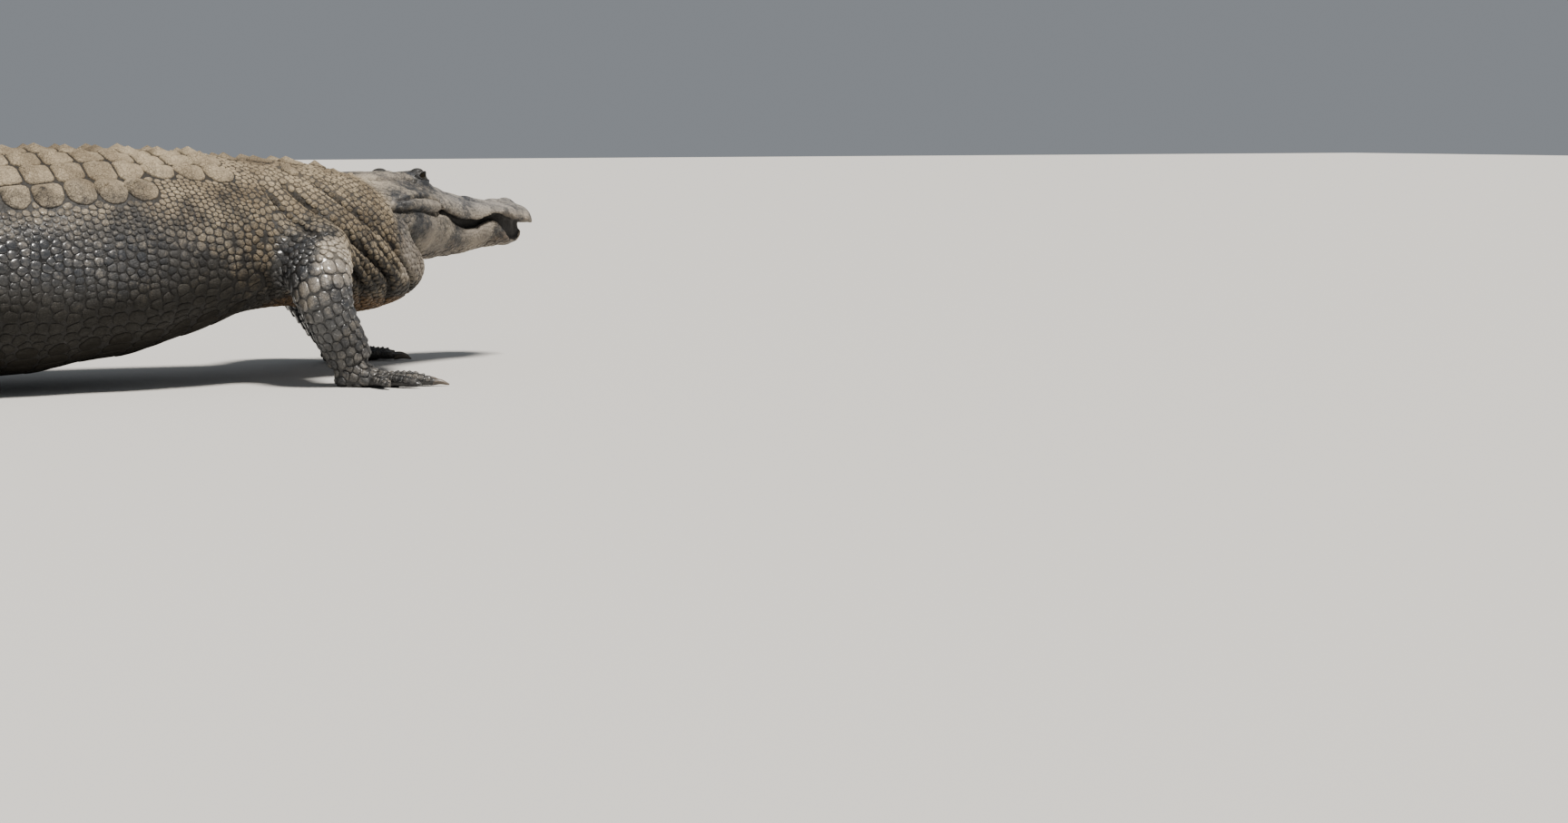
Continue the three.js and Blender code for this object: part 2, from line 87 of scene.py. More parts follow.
# Landmarks from the tail's tip to the throat, in millimetres: place on the floor plan, heights of
# the back, the belly and the widest level, half width, and how square the section is.
landmarks = np.array([
    [-2700, -235, 17, -3, 7, 6, 2, 2],
    [-2440, -150, 66, -3, 26, 19, 1.8, 2.4],
    [-2140, -30, 112, -4, 44, 38, 1.8, 2.4],
    [-1840, 60, 164, -4, 66, 62, 1.8, 2.4],
    [-1560, 84, 220, -4, 92, 90, 1.9, 2.3],
    [-1310, 56, 274, -2, 120, 116, 2, 2.2],
    [-1100, 18, 322, 14, 155, 143, 2.1, 2.1],
    [-930, 0, 368, 34, 182, 180, 2.1, 2.1],
    [-750, 0, 400, 24, 188, 226, 2.1, 2.2],
    [-540, 0, 420, 24, 190, 250, 2, 2.2],
    [-340, 0, 423, 46, 200, 248, 2, 2.1],
    [-190, 0, 414, 84, 212, 230, 2, 2.1],
    [-60, 0, 404, 124, 226, 203, 2, 2.1],
    [20, 5, 399, 128, 232, 188, 2, 2.1],
    [90, 20, 388, 112, 228, 178, 2, 2.2],
    [140, 38, 370, 110, 215, 172, 2, 2.2],
    [186, 58, 300, 120, 200, 160, 2, 2.2],
    [228, 75, 258, 138, 194, 128, 2, 2.1],
    [262, 89, 214, 176, 194, 50, 2, 2],
])
landmarks[:, :6] *= MM
at_landmark = np.concatenate([[0], np.cumsum(np.hypot(*np.diff(landmarks[:, :2], axis=0).T))])
body = {
    key: through(at_landmark, landmarks[:, i], key not in "xy")
    for i, key in enumerate(["x", "y", "top", "low", "wide", "half", "above", "below"])
}
body_end = at_landmark[-1]
place_of = through(landmarks[:, 0], at_landmark, False)


def unit(vectors):
    """Vectors brought to a length of one."""
    return vectors / np.linalg.norm(vectors, axis=-1, keepdims=True)


def body_point(along, turn, inset=0.0):
    """A point of the body's outline, or of what lies under it by the coat's depth times inset."""
    along, turn = np.broadcast_arrays(np.asarray(along, float), np.asarray(turn, float))
    step = 0.001
    ahead = unit(np.stack([body[k](along + step) - body[k](along - step) for k in "xy"], -1))
    c, s = np.cos(turn), np.sin(turn)
    square = np.where(s > 0, body["above"](along), body["below"](along))
    wide = body["wide"](along)
    thin = np.minimum(1, body["half"](along) / 0.06) * inset
    up = body["top"](along) - wide - COAT["back"] * thin
    down = wide - body["low"](along) - COAT["belly"] * thin
    side = np.sign(c) * np.abs(c) ** (2 / square) * (body["half"](along) - COAT["side"] * thin)
    height = wide + np.sign(s) * np.abs(s) ** (2 / square) * np.where(s > 0, up, down)
    x, y = body["x"](along) - ahead[..., 1] * side, body["y"](along) + ahead[..., 0] * side
    return np.stack([x, y, height], -1) + MIDDLE


# The head has a frame of its own, forward from the skull's back, left, and up from the lips.
HEAD = 0.49  # snout tip to the back of the skull table
nape = np.array([0.140, 0.040, 0.283]) + MIDDLE
yaw, pitch = math.radians(22), math.radians(4.2)
head_turn = np.array([
    [math.cos(yaw) * math.cos(pitch), -math.sin(yaw), math.cos(yaw) * math.sin(pitch)],
    [math.sin(yaw) * math.cos(pitch), math.cos(yaw), math.sin(yaw) * math.sin(pitch)],
    [-math.sin(pitch), 0, math.cos(pitch)],
])


def head_point(at, left, up):
    """at is a share of the head's length from the snout's tip; left and up are in metres."""
    local = np.stack(np.broadcast_arrays((1 - at) * HEAD, left, up), -1)
    return local @ head_turn.T + nape


def in_head(points):
    """Share of the head's length from the snout's tip, and metres to the left and up."""
    local = (np.asarray(points) - nape) @ head_turn
    return 1 - local[..., 0] / HEAD, local[..., 1], local[..., 2]


def share(places, values):
    """A curve whose values are shares of the head's length, in metres."""
    curve = through(places, values)
    return lambda at: curve(at) * HEAD


# Along the head: its half width, the heights of crown, cheek and lips above the mouth's level, and
# the half width of the flat table over the braincase. Under them the jaw, with its rim and keel.
skull = {
    "half": share(
        [0, 0.012, 0.04, 0.09, 0.15, 0.24, 0.36, 0.46, 0.56, 0.68, 0.8, 0.92, 1, 1.06],
        [0.03, 0.07, 0.112, 0.142, 0.15, 0.188, 0.178, 0.19, 0.212, 0.242, 0.278, 0.3, 0.27, 0.2],
    ),
    "crown": share(
        [0, 0.02, 0.05, 0.09, 0.14, 0.2, 0.3, 0.42, 0.52, 0.6, 0.68, 0.8, 0.92, 1, 1.06],
        [0.096, 0.106, 0.115, 0.124, 0.122, 0.118, 0.12, 0.13, 0.148, 0.174, 0.187, 0.189, 0.184, 0.172,
         0.14],
    ),
    "cheek": share(
        [0, 0.05, 0.1, 0.3, 0.5, 0.66, 0.8, 0.92, 1.06],
        [0.045, 0.1, 0.112, 0.1, 0.122, 0.14, 0.15, 0.145, 0.1],
    ),
    "table": share([0, 0.5, 0.62, 0.72, 0.86, 1, 1.06], [0.02, 0.06, 0.1, 0.14, 0.152, 0.15, 0.12]),
    "lip": share(
        [0, 0.06, 0.11, 0.15, 0.22, 0.28, 0.33, 0.37, 0.41, 0.46, 0.52, 0.6, 0.7, 0.75, 0.8, 0.9, 1.06],
        [0.034, 0.028, 0.038, 0.037, 0.047, 0.061, 0.058, 0.045, 0.03, 0.024, 0.026, 0.04, 0.055, 0.047,
         0.036, 0.038, 0.04],
    ),
}
mandible = {
    "half": share(
        [0.06, 0.07, 0.09, 0.14, 0.24, 0.36, 0.46, 0.56, 0.68, 0.8, 0.92, 1.04],
        [0.04, 0.07, 0.096, 0.120, 0.152, 0.156, 0.168, 0.192, 0.234, 0.274, 0.29, 0.24],
    ),
    "rim": share(
        [0.06, 0.08, 0.10, 0.135, 0.2, 0.235, 0.27, 0.31, 0.34, 0.37, 0.4, 0.435, 0.48, 0.54, 0.62, 0.7, 0.78,
         1.04],
        [0.018, 0.008, -0.018, -0.038, -0.036, -0.014, 0.012, 0.029, 0.024, 0.010, 0.0, -0.006, -0.008, 0.003,
         0.025, 0.042, 0.032, 0.034],
    ),
    "keel": share(
        [0.06, 0.08, 0.11, 0.145, 0.21, 0.3, 0.4, 0.5, 0.6, 0.7, 0.8, 0.92, 1.04],
        [-0.006, -0.028, -0.046, -0.056, -0.064, -0.083, -0.103, -0.12, -0.138, -0.145, -0.142, -0.126, -0.1],
    ),
}


eye = {"at": 0.695, "left": 0.049, "up": 0.086, "radius": 0.016, "brow": 0.011}


def box_reach(slant, half, high, square):
    """How far a rounded box reaches from its middle, at that slant."""
    across = np.abs(np.cos(slant) / half) ** square
    return (across + np.abs(np.sin(slant) / high) ** square) ** (-1 / square)


def skull_ring(at, slants):
    """The upper half of the head at one place: cheeks, the flat table and the brow over the eye."""
    lip, half = skull["lip"](at), skull["half"](at) - 0.001
    low = box_reach(slants, half, skull["cheek"](at) - lip, 2.6)
    high = box_reach(slants, skull["table"](at), skull["crown"](at) - lip - 0.001, 4)
    lean = math.pi / 2 - np.abs(slants - math.pi / 2)
    brow = eye["brow"] * bump(at - eye["at"], 0.05) * bump(lean - math.atan2(eye["up"], eye["left"]), 0.26)
    snout = 0.003 * bump(at - 0.08, 0.03) * bump(slants - math.pi / 2, 0.5)
    reach = (low**10 + high**10) ** 0.1 + brow + snout
    ring = head_point(at, reach * np.cos(slants), lip + reach * np.sin(slants))
    gum = 0.84 * half
    roof = max(mandible["rim"](at), lip) + 0.003
    return np.concatenate([ring, head_point(at, np.array([-gum, gum]), roof)])


def mandible_ring(at, slants):
    """The lower jaw at one place, from its rim round its keel."""
    rim = mandible["rim"](at)
    reach = box_reach(slants, mandible["half"](at) - 0.001, rim - mandible["keel"](at) - 0.001, 2.5)
    return head_point(at, reach * np.cos(slants), rim - reach * np.sin(slants))


def gum_ring(at, turns):
    """What closes the mouth inside the lips: gums and the roots of the tongue."""
    half = 0.80 * min(float(skull["half"](at)), float(mandible["half"](at)))
    low, high = mandible["rim"](at) - 0.012, max(float(skull["lip"](at)), float(mandible["rim"](at))) + 0.012
    middle, tall = (low + high) / 2, (high - low) / 2
    reach = box_reach(turns, half, tall, 4)
    return head_point(at, reach * np.cos(turns), middle + reach * np.sin(turns))


def loft(rings):
    """Points and faces of a closed solid through rings, with a fan over each end."""
    rings = np.asarray(rings)
    count, around = rings.shape[:2]
    points = np.concatenate([rings.reshape(-1, 3), rings[:1].mean(1), rings[-1:].mean(1)])
    r, i = np.meshgrid(np.arange(count - 1), np.arange(around), indexing="ij")
    a, b = (r * around + i).ravel(), (r * around + (i + 1) % around).ravel()
    i, j = np.arange(around), (np.arange(around) + 1) % around
    last = (count - 1) * around
    first_cap = np.stack([np.full(around, count * around), j, i], 1)
    last_cap = np.stack([np.full(around, count * around + 1), last + i, last + j], 1)
    faces = [tuple(f) for f in np.stack([a, b, b + around, a + around], 1).tolist()]
    faces += [tuple(f) for f in np.concatenate([first_cap, last_cap]).tolist()]
    return points, faces


def placed(name, data):
    """A new object in the scene."""
    made = bpy.data.objects.new(name, data)
    bpy.context.scene.collection.objects.link(made)
    return made


def mesh_of(name, solids):
    """One mesh from several lofts, each turned so that its faces point outwards."""
    mesh = bpy.data.meshes.new(name)
    points, faces, before = [], [], 0
    for solid_points, solid_faces in solids:
        points.append(solid_points)
        faces += [tuple(before + k for k in f) for f in solid_faces]
        before += len(solid_points)
    mesh.from_pydata(np.concatenate(points).tolist(), [], faces)
    turned = bmesh.new()
    turned.from_mesh(mesh)
    bmesh.ops.recalc_face_normals(turned, faces=turned.faces)
    turned.to_mesh(mesh)
    turned.free()
    return placed(name, mesh)


def finished(made):
    """The object with its modifiers' result as its own mesh."""
    shape = bpy.data.meshes.new_from_object(made.evaluated_get(bpy.context.evaluated_depsgraph_get()))
    old = made.data
    made.modifiers.clear()
    made.data = shape
    bpy.data.meshes.remove(old)
    return made


def melted(made, voxel):
    """Overlapping solids become one closed skin."""
    melt = made.modifiers.new("melt", "REMESH")
    melt.mode, melt.voxel_size, melt.adaptivity = "VOXEL", voxel, 0
    return finished(made)


def read(items, what, width=1, kind=np.float32):
    """What each vertex, edge or face corner of a mesh holds, as an array."""
    flat = np.empty(len(items) * width, kind)
    items.foreach_get(what, flat)
    return flat if width == 1 else flat.reshape(-1, width)


def coordinates_of(mesh):
    return read(mesh.vertices, "co", 3).astype(float)


def normals_of(mesh):
    return read(mesh.vertex_normals, "vector", 3).astype(float)


def move_to(mesh, points):
    """Moves a mesh's points to these places."""
    mesh.vertices.foreach_set("co", points.astype(np.float32).ravel())
    mesh.update()


def neighbour_mean(mesh):
    """A function that gives each point the mean of its neighbours' values."""
    a, b = read(mesh.edges, "vertices", 2, np.int32).T
    count = len(mesh.vertices)
    degree = np.bincount(a, minlength=count) + np.bincount(b, minlength=count)

    def mean(values):
        if values.ndim == 2:
            return np.stack([mean(column) for column in values.T], 1)
        return (np.bincount(a, values[b], count) + np.bincount(b, values[a], count)) / degree

    return mean


def relaxed(mesh, times, weight, fill_only=False):
    """Each point drawn to the middle of its neighbours. fill_only moves it outwards alone."""
    points, out, mean = coordinates_of(mesh), normals_of(mesh), neighbour_mean(mesh)
    for _ in range(times):
        move = mean(points) - points
        if fill_only:
            move *= ((move * out).sum(1) > 0)[:, None]
        points += move * weight[:, None] * 0.5
    move_to(mesh, points)


class Tube:
    """A bent tube through joints, as a limb, a toe or a claw is."""

    def __init__(self, joints, places, across, deep=None):
        self.joints = np.array(joints, float)
        self.across = through(places, across)
        self.deep = through(places, across if deep is None else deep)
        p = self.joints
        ends = np.array([2 * p[0] - p[1], *p, 2 * p[-1] - p[-2]])
        knots = np.cumsum([0, *(np.linalg.norm(np.diff(ends, axis=0), axis=1) ** 0.5)])
        self.ends, self.knots = ends, knots

    def middle(self, at):
        """The centripetal curve through the joints, at is counted in joints."""
        at = np.atleast_1d(np.asarray(at, float))
        i = np.clip(at.astype(int), 0, len(self.joints) - 2)
        e, k = self.ends, self.knots
        t = (k[i + 1] + (at - i) * (k[i + 2] - k[i + 1]))[:, None]
        p0, p1, p2, p3 = e[i], e[i + 1], e[i + 2], e[i + 3]
        t0, t1, t2, t3 = (k[i + j][:, None] for j in range(4))
        a1 = (t1 - t) / (t1 - t0) * p0 + (t - t0) / (t1 - t0) * p1
        a2 = (t2 - t) / (t2 - t1) * p1 + (t - t1) / (t2 - t1) * p2
        a3 = (t3 - t) / (t3 - t2) * p2 + (t - t2) / (t3 - t2) * p3
        b1 = (t2 - t) / (t2 - t0) * a1 + (t - t0) / (t2 - t0) * a2
        b2 = (t3 - t) / (t3 - t1) * a2 + (t - t1) / (t3 - t1) * a3
        return (t2 - t) / (t2 - t1) * b1 + (t - t1) / (t2 - t1) * b2

    def frames(self, places):
        """Middles, sideways and upward directions, each turned as little as can be."""
        middles = self.middle(places)
        ahead = unit(self.middle(np.asarray(places) + 1e-3) - self.middle(np.asarray(places) - 1e-3))
        side = np.cross([0, 0, 1], ahead[0])
        sides = []
        for forward in ahead:
            side = unit(side - forward * (side @ forward))
            sides.append(side)
        sides = np.array(sides)
        return middles, sides, np.cross(ahead, sides)

    def rings(self, places, turns, inset=0.0):
        middles, sides, ups = self.frames(places)
        wide = (self.across(places) - inset)[:, None, None]
        deep = (self.deep(places) - inset)[:, None, None]
        sideways = sides[:, None] * np.cos(turns)[:, None] * wide
        return middles[:, None] + sideways + ups[:, None] * np.sin(turns)[:, None] * deep


# The limbs: thickness at shoulder or hip, elbow or knee, wrist or ankle, and between them. Then the
# toes' lengths and the directions they point in, and the palm's length, half width and height.
fore = {
    "places": [0, 0.5, 1, 1.4, 2],
    "across": np.array([58, 62, 56, 47, 40]) * MM,
    "deep": np.array([66, 62, 57, 48, 39]) * MM,
    "toes": np.array([58, 76, 84, 76, 56]) * MM,
    "angles": [52, 27, 3, -24, -56],
    "thick": 0.012,
    "palm": np.array([66, 40, 27]) * MM,
}
hind = {
    "places": [0, 0.5, 1, 1.4, 2],
    "across": np.array([66, 86, 68, 49, 37]) * MM,
    "deep": np.array([72, 92, 68, 50, 37]) * MM,
    "toes": np.array([92, 118, 122, 104]) * MM,
    "angles": [24, 8, -8, -26],
    "thick": 0.013,
    "palm": np.array([118, 46, 29]) * MM,
}
# Each limb's shape, the side of the inner toe, its joints in millimetres, and the foot's heading in degrees.
limbs = {
    "right_fore": (fore, -1, [[30, -110, 262], [-14, -252, 176], [42, -250, 40]], -32),
    "left_fore": (fore, 1, [[20, 112, 244], [142, 268, 170], [228, 262, 40]], 34),
    "right_hind": (hind, -1, [[-985, -70, 222], [-838, -266, 214], [-946, -304, 50]], -26),
    "left_hind": (hind, 1, [[-985, 70, 222], [-905, 280, 198], [-1096, 302, 52]], 24),
}
limb_tubes = {
    name: Tube(np.array(joints) * MM + MIDDLE, shape["places"], shape["across"], shape["deep"])
    for name, (shape, _, joints, _) in limbs.items()
}
LIMB_COAT = 0.003  # how deep a limb's skin lies under its scales


def full_turn(count):
    """So many even directions all the way round."""
    return np.linspace(0, 2 * math.pi, count + 1)[:-1]


round_turns = full_turn(48)


def foot_way(name):
    """A function from forward, left and up over a foot to a point."""
    _, _, joints, heading = limbs[name]
    wrist = np.array(joints[2]) * MM + MIDDLE
    c, s = math.cos(math.radians(heading)), math.sin(math.radians(heading))
    return lambda forward, left, up: np.stack(
        np.broadcast_arrays(wrist[0] + forward * c - left * s, wrist[1] + forward * s + left * c, up), -1
    )


palm_across = through([-0.4, 0, 0.5, 1], [0.62, 0.86, 0.98, 0.95])
palm_height = through([-0.4, 0, 0.5, 1], [1.1, 1.4, 0.8, 0.5])


def palm(name):
    """The flat of hand or foot, from behind the wrist to the roots of the toes."""
    long, wide, high = limbs[name][0]["palm"]
    onward = foot_way(name)
    return loft([
        onward(
            long * t,
            np.cos(round_turns) * (wide - LIMB_COAT / 2) * palm_across(t),
            high * palm_height(t) * (0.72 + np.sin(round_turns)) - LIMB_COAT / 2,
        )
        for t in np.linspace(-0.4, 1, 9)
    ])


def toe(name, i):
    """A toe's tube, a way to reach a place along it, its length and its thickness."""
    shape, side, _, _ = limbs[name]
    long, wide, _ = shape["palm"]
    length, thick = shape["toes"][i], shape["thick"]
    slant = -side * math.radians(shape["angles"][i])
    spread = 1 - 2 * i / (len(shape["toes"]) - 1)
    forward, left = long * (0.86 - 0.16 * spread**2), -side * spread * wide * 0.74
    onward = foot_way(name)

    def along(reach, up):
        return onward(forward + reach * math.cos(slant), left + reach * math.sin(slant), up)

    joints = [along(-0.014, thick - 0.002), along(length * 0.45, thick), along(length, thick * 0.6)]
    return Tube(joints, [0, 1, 1.6, 2], np.array([1, 0.9, 0.78, 0.56]) * thick), along, length, thick


def toe_solid(name, i):
    """The toe as flesh: swollen at its joints, flat where it meets the floor."""
    tube = toe(name, i)[0]
    places = np.linspace(0, 2, 40)
    rings = tube.rings(places, round_turns, 0.001)
    middles = tube.middle(places)[:, None]
    knuckles = bump(places - 0.75, 0.16) + bump(places - 1.4, 0.14)
    swell = 1 + 0.10 * knuckles - 0.05 * bump(places - 1.08, 0.12)
    rings = middles + (rings - middles) * swell[:, None, None]
    tip = middles[-1] + (middles[-1] - middles[-2]) * 1.2
    rounded = [
        middles[-1] + (rings[-1] - middles[-1]) * thinner + (tip - middles[-1]) * onward
        for thinner, onward in ((0.8, 0.9), (0.4, 1.5))
    ]
    return loft(np.concatenate([rings, np.array(rounded)]))


def web(name, i):
    """The skin between two hind toes, out to a little over half their length."""
    a, b = toe(name, i), toe(name, i + 1)
    low, high = 0.005, 0.010
    strips = []
    for t in np.linspace(0, 1, 9):
        reach = 0.60 - 0.16 * math.sin(math.pi * t)
        near = a[1](-0.006, 0) * (1 - t) + b[1](-0.006, 0) * t
        far = a[1](a[2] * reach, 0) * (1 - t) + b[1](b[2] * reach, 0) * t
        edges = (near, low), (far, low), (far, high - 0.003), (near, high + 0.004)
        strips.append([edge + [0, 0, level] for edge, level in edges])
    return loft(strips)


def orbit(seat):
    """The bony mound round an eye, and the ball of lids on it."""
    x, y = np.cos(round_turns), np.sin(round_turns)
    rings = np.array([
        np.stack([np.cos(tilt) * x, np.cos(tilt) * y, np.full(len(x), math.sin(tilt))], 1)
        for tilt in np.linspace(-1.5, 1.5, 25)
    ])
    lids, mound = [eye["radius"] + 0.0022] * 3, [0.027, 0.021, 0.019]
    return [
        loft((rings * sizes) @ head_turn.T + seat - head_turn[:, 2] * sink)
        for sizes, sink in ((lids, 0.0), (mound, 0.006))
    ]


limb_places = np.linspace(0, 2, 41)
slants = np.linspace(0, math.pi, 61)
trunk = loft(body_point(np.linspace(0.002, body_end - 0.0005, 300)[:, None], round_turns[None], 1.0))
skull_solid = loft([skull_ring(at, slants) for at in 1.05 * np.linspace(0, 1, 110) ** 1.15])
jaw_solid = loft([mandible_ring(at, slants) for at in 0.06 + 0.97 * np.linspace(0, 1, 90) ** 1.1])
gums = loft([gum_ring(at, round_turns) for at in np.linspace(0.09, 0.98, 60)])
arms = [loft(tube.rings(limb_places, round_turns, LIMB_COAT)) for tube in limb_tubes.values()]


def nearest_of(seats, places):
    """How far each place is from the nearest of the seats."""
    return np.min([np.linalg.norm(places - seat, axis=1) for seat in seats], axis=0)


# Trunk and limbs first, with the hollows between them filled as muscle and slack skin fill them.
COARSE, FINE = 0.009, 0.0034  # edge of the small cubes that the solids are melted together in
limb_roots = [tube.joints[0] for tube in limb_tubes.values()]
hide = melted(mesh_of("hide", [trunk, *arms]), COARSE)
to_root = nearest_of(limb_roots, coordinates_of(hide.data))
relaxed(hide.data, 40, 1 - smooth(0.20, 0.30, to_root), fill_only=True)
flesh = [[coordinates_of(hide.data), [tuple(p.vertices) for p in hide.data.polygons]]]
bpy.data.objects.remove(hide)
eye_seats = {name: np.mean(np.array(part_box(name)), axis=0) for name in ("eye_left", "eye_right")}
feet = [palm(name) for name in limbs]
feet += [toe_solid(name, i) for name, (shape, *_) in limbs.items() for i in range(len(shape["toes"]))]
feet += [web(name, i) for name in limbs if "hind" in name for i in range(3)]
orbits = [ball for seat in eye_seats.values() for ball in orbit(seat)]
hide = melted(mesh_of("hide", [*flesh, skull_solid, jaw_solid, gums, *orbits, *feet]), FINE)

# The mesh is relaxed a little and made finer round the eyes, and then carries the folds, lids and
# creases of the photo.
at, left, up = in_head(coordinates_of(hide.data))
to_eye = nearest_of(eye_seats.values(), coordinates_of(hide.data))
relaxed(hide.data, 9, (1.0 - 0.3 * (at < 1) * (up > -0.16)) * smooth(0.024, 0.03, to_eye))
skull_edge = bump(at - 1.03, 0.04) * (up > -0.05)
relaxed(hide.data, 25, np.maximum(skull_edge, bump(to_eye - 0.024, 0.007) * 0.7), fill_only=True)
finer = bmesh.new()
finer.from_mesh(hide.data)
for seat in eye_seats.values():
    near = [e for e in finer.edges if (e.verts[0].co - Vector(seat)).length < 0.029]
    bmesh.ops.subdivide_edges(finer, edges=near, cuts=2, use_grid_fill=True, smooth=0.6)
finer.to_mesh(hide.data)
finer.free()
points = coordinates_of(hide.data)
at, left, up = in_head(points)
on_head = (1 - smooth(0.96, 1.04, at)) * (up > -0.16)
out = normals_of(hide.data)


def waves(points, size, seed):
    """A smooth random field of about -1 to 1 whose lumps are about that size."""
    chance = np.random.default_rng(seed)
    total = np.zeros(len(points))
    for _ in range(14):  # plane waves, so many that no direction shows
        way = chance.normal(size=3)
        way *= 2 * math.pi / size * chance.uniform(0.55, 1.4) / np.linalg.norm(way) / 1.6
        total += np.sin(points @ way + chance.uniform(0, 2 * math.pi))
    return total / 3.4


def line_distance(x, y, line):
    """How far each point is from a line through corners."""
    nearest = np.full(x.shape, np.inf)
    for (x0, y0), (x1, y1) in zip(line[:-1], line[1:]):
        dx, dy = x1 - x0, y1 - y0
        t = np.clip(((x - x0) * dx + (y - y0) * dy) / (dx * dx + dy * dy), 0, 1)
        nearest = np.minimum(nearest, np.hypot(x - x0 - t * dx, y - y0 - t * dy))
    return nearest


def body_place(points):
    """Where points lie on trunk, neck and tail: how far along from the tail's tip, what part of the
    half round from the back to the belly, how far out, 1 at the outline, and which side, 1 at the left."""
    flat = points - MIDDLE
    along = place_of(flat[:, 0])
    for _ in range(3):
        step = 0.002
        way = unit(np.stack([body[k](along + step) - body[k](along - step) for k in "xy"], 1))
        offset = flat[:, :2] - np.stack([body["x"](along), body["y"](along)], 1)
        along = np.clip(along + (offset * way).sum(1) * 0.8, 0, body_end)
    side = -offset[:, 0] * way[:, 1] + offset[:, 1] * way[:, 0]
    wide = body["wide"](along)
    rise = flat[:, 2] - wide
    tall = np.where(rise > 0, body["top"](along) - wide, wide - body["low"](along))
    u, v = side / body["half"](along), rise / np.maximum(tall, 1e-4)
    return along, np.arctan2(np.abs(u), v) / math.pi, np.hypot(u, v), np.sign(side)


def in_design(x):
    """How far along the body a place of the landmarks' own measure is."""
    return float(place_of(x * MM))


along, round_share, reach, _ = body_place(points)

# Slack folds run down and forward over neck and shoulder, 30 mm apart, with three deep ones.
FOLD_APART, FOLD_DEPTH = 0.030, 0.0050
down = round_share * (0.56 - 0.1 * smooth(in_design(-200), in_design(100), along))
slant = along - 0.62 * down + 0.016 * waves(points, 0.16, 3)
on_neck = smooth(in_design(-190), in_design(-30), along) * (1 - smooth(1.02, 1.12, reach) * 0.8)
on_neck *= smooth(0.10, 0.24, round_share) * (1 - smooth(0.80, 0.95, round_share))
on_neck *= smooth(0.985, 1.05, at)
fold = np.abs(np.sin(math.pi * slant / FOLD_APART))
depth = FOLD_DEPTH * on_neck * (0.6 + 0.6 * np.clip(waves(points, 0.12, 5) + 0.3, 0, 1))
points -= out * (depth * (1 - fold) ** 1.6)[:, None]
deep_folds = 0.0
for start, strength in ((in_design(-95), 0.010), (in_design(-40), 0.013), (in_design(20), 0.008)):
    line = along - start - 0.66 * (down - 0.08) + 0.012 * waves(points, 0.2, 9)
    deep_folds = deep_folds + strength * bump(line, 0.008) * smooth(0.12, 0.3, round_share)
deep_folds = deep_folds * (1 - smooth(0.70, 0.85, round_share)) * (reach < 1.25)
points -= out * deep_folds[:, None]

# The hide wrinkles in rings round each limb's root, 14 mm apart.
for tube in limb_tubes.values():
    away = np.linalg.norm(points - tube.middle(0.42)[0], axis=1)
    lift = np.sin(math.pi * (away - 0.10) / 0.014 + 1.5 * waves(points, 0.1, 21))
    zone = bump(away - 0.13, 0.035)
    points -= out * (0.0016 * zone * (1 - np.abs(lift)))[:, None]

# Faint irregularity everywhere, as flesh has.
points += out * (0.0018 * waves(points, 0.09, 11) * (1 - 0.6 * on_head))[:, None]

# The face. Lines are in shares of the head's length, from the snout's tip and up from the lips: the
# closed mouth's corner, the pad behind it, the fold behind the eye, and the flap over the ear.
flank_of_head = smooth(0.25, 0.6, np.abs(out @ head_turn)[:, 1]) * on_head
mouth_line = [(1.0, 0.036), (0.953, 0.033), (0.923, 0.040), (0.897, 0.044), (0.858, 0.044), (0.795, 0.037),
              (0.75, 0.035), (0.695, 0.041), (0.65, 0.048)]
pad_line = [(0.965, 0.076), (0.92, 0.085), (0.881, 0.094), (0.843, 0.099), (0.788, 0.098), (0.73, 0.090),
            (0.705, 0.079), (0.694, 0.062), (0.690, 0.045)]
upper_line = [(0.794, 0.122), (0.74, 0.127), (0.713, 0.125), (0.696, 0.118), (0.697, 0.105), (0.698, 0.086)]
ear_line = [(0.98, 0.152), (0.93, 0.156), (0.874, 0.159), (0.842, 0.162), (0.797, 0.165), (0.76, 0.164),
            (0.735, 0.158)]
x, y = at, up / HEAD
creases = 0.0075 * bump(line_distance(x, y, mouth_line), 0.0066)
upper = 0.0080 * bump(line_distance(x, y, pad_line), 0.0058)
upper += 0.0045 * bump(line_distance(x, y, upper_line), 0.0052)
upper += 0.0035 * bump(line_distance(x, y, ear_line), 0.0060)
pad = smooth(0.70, 0.75, x) * (1 - smooth(0.93, 0.98, x)) * bump((y - 0.066) / 0.022, 1)
under = smooth(0.70, 0.78, x) * (1 - smooth(0.92, 1.0, x)) * bump((y + 0.01) / 0.035, 1)
brow_fold = bump((y - 0.112) / 0.012, 1) * smooth(0.72, 0.78, x) * (1 - smooth(0.84, 0.92, x))
swell = 0.0065 * pad + 0.004 * under + 0.003 * brow_fold
sockets = 0.0006 * np.cos(2 * math.pi * x / 0.052) * bump(y - skull["lip"](x) / HEAD - 0.012, 0.016)
sockets *= smooth(0.1, 0.16, x) * (1 - smooth(0.6, 0.68, x))
outward = smooth(0.02, 0.20, np.abs(out @ head_turn)[:, 1]) * on_head
points += out * (flank_of_head * (swell + sockets - creases) - outward * upper)[:, None]
points += out * (on_head * 0.0009 * waves(points, 0.022, 31))[:, None]

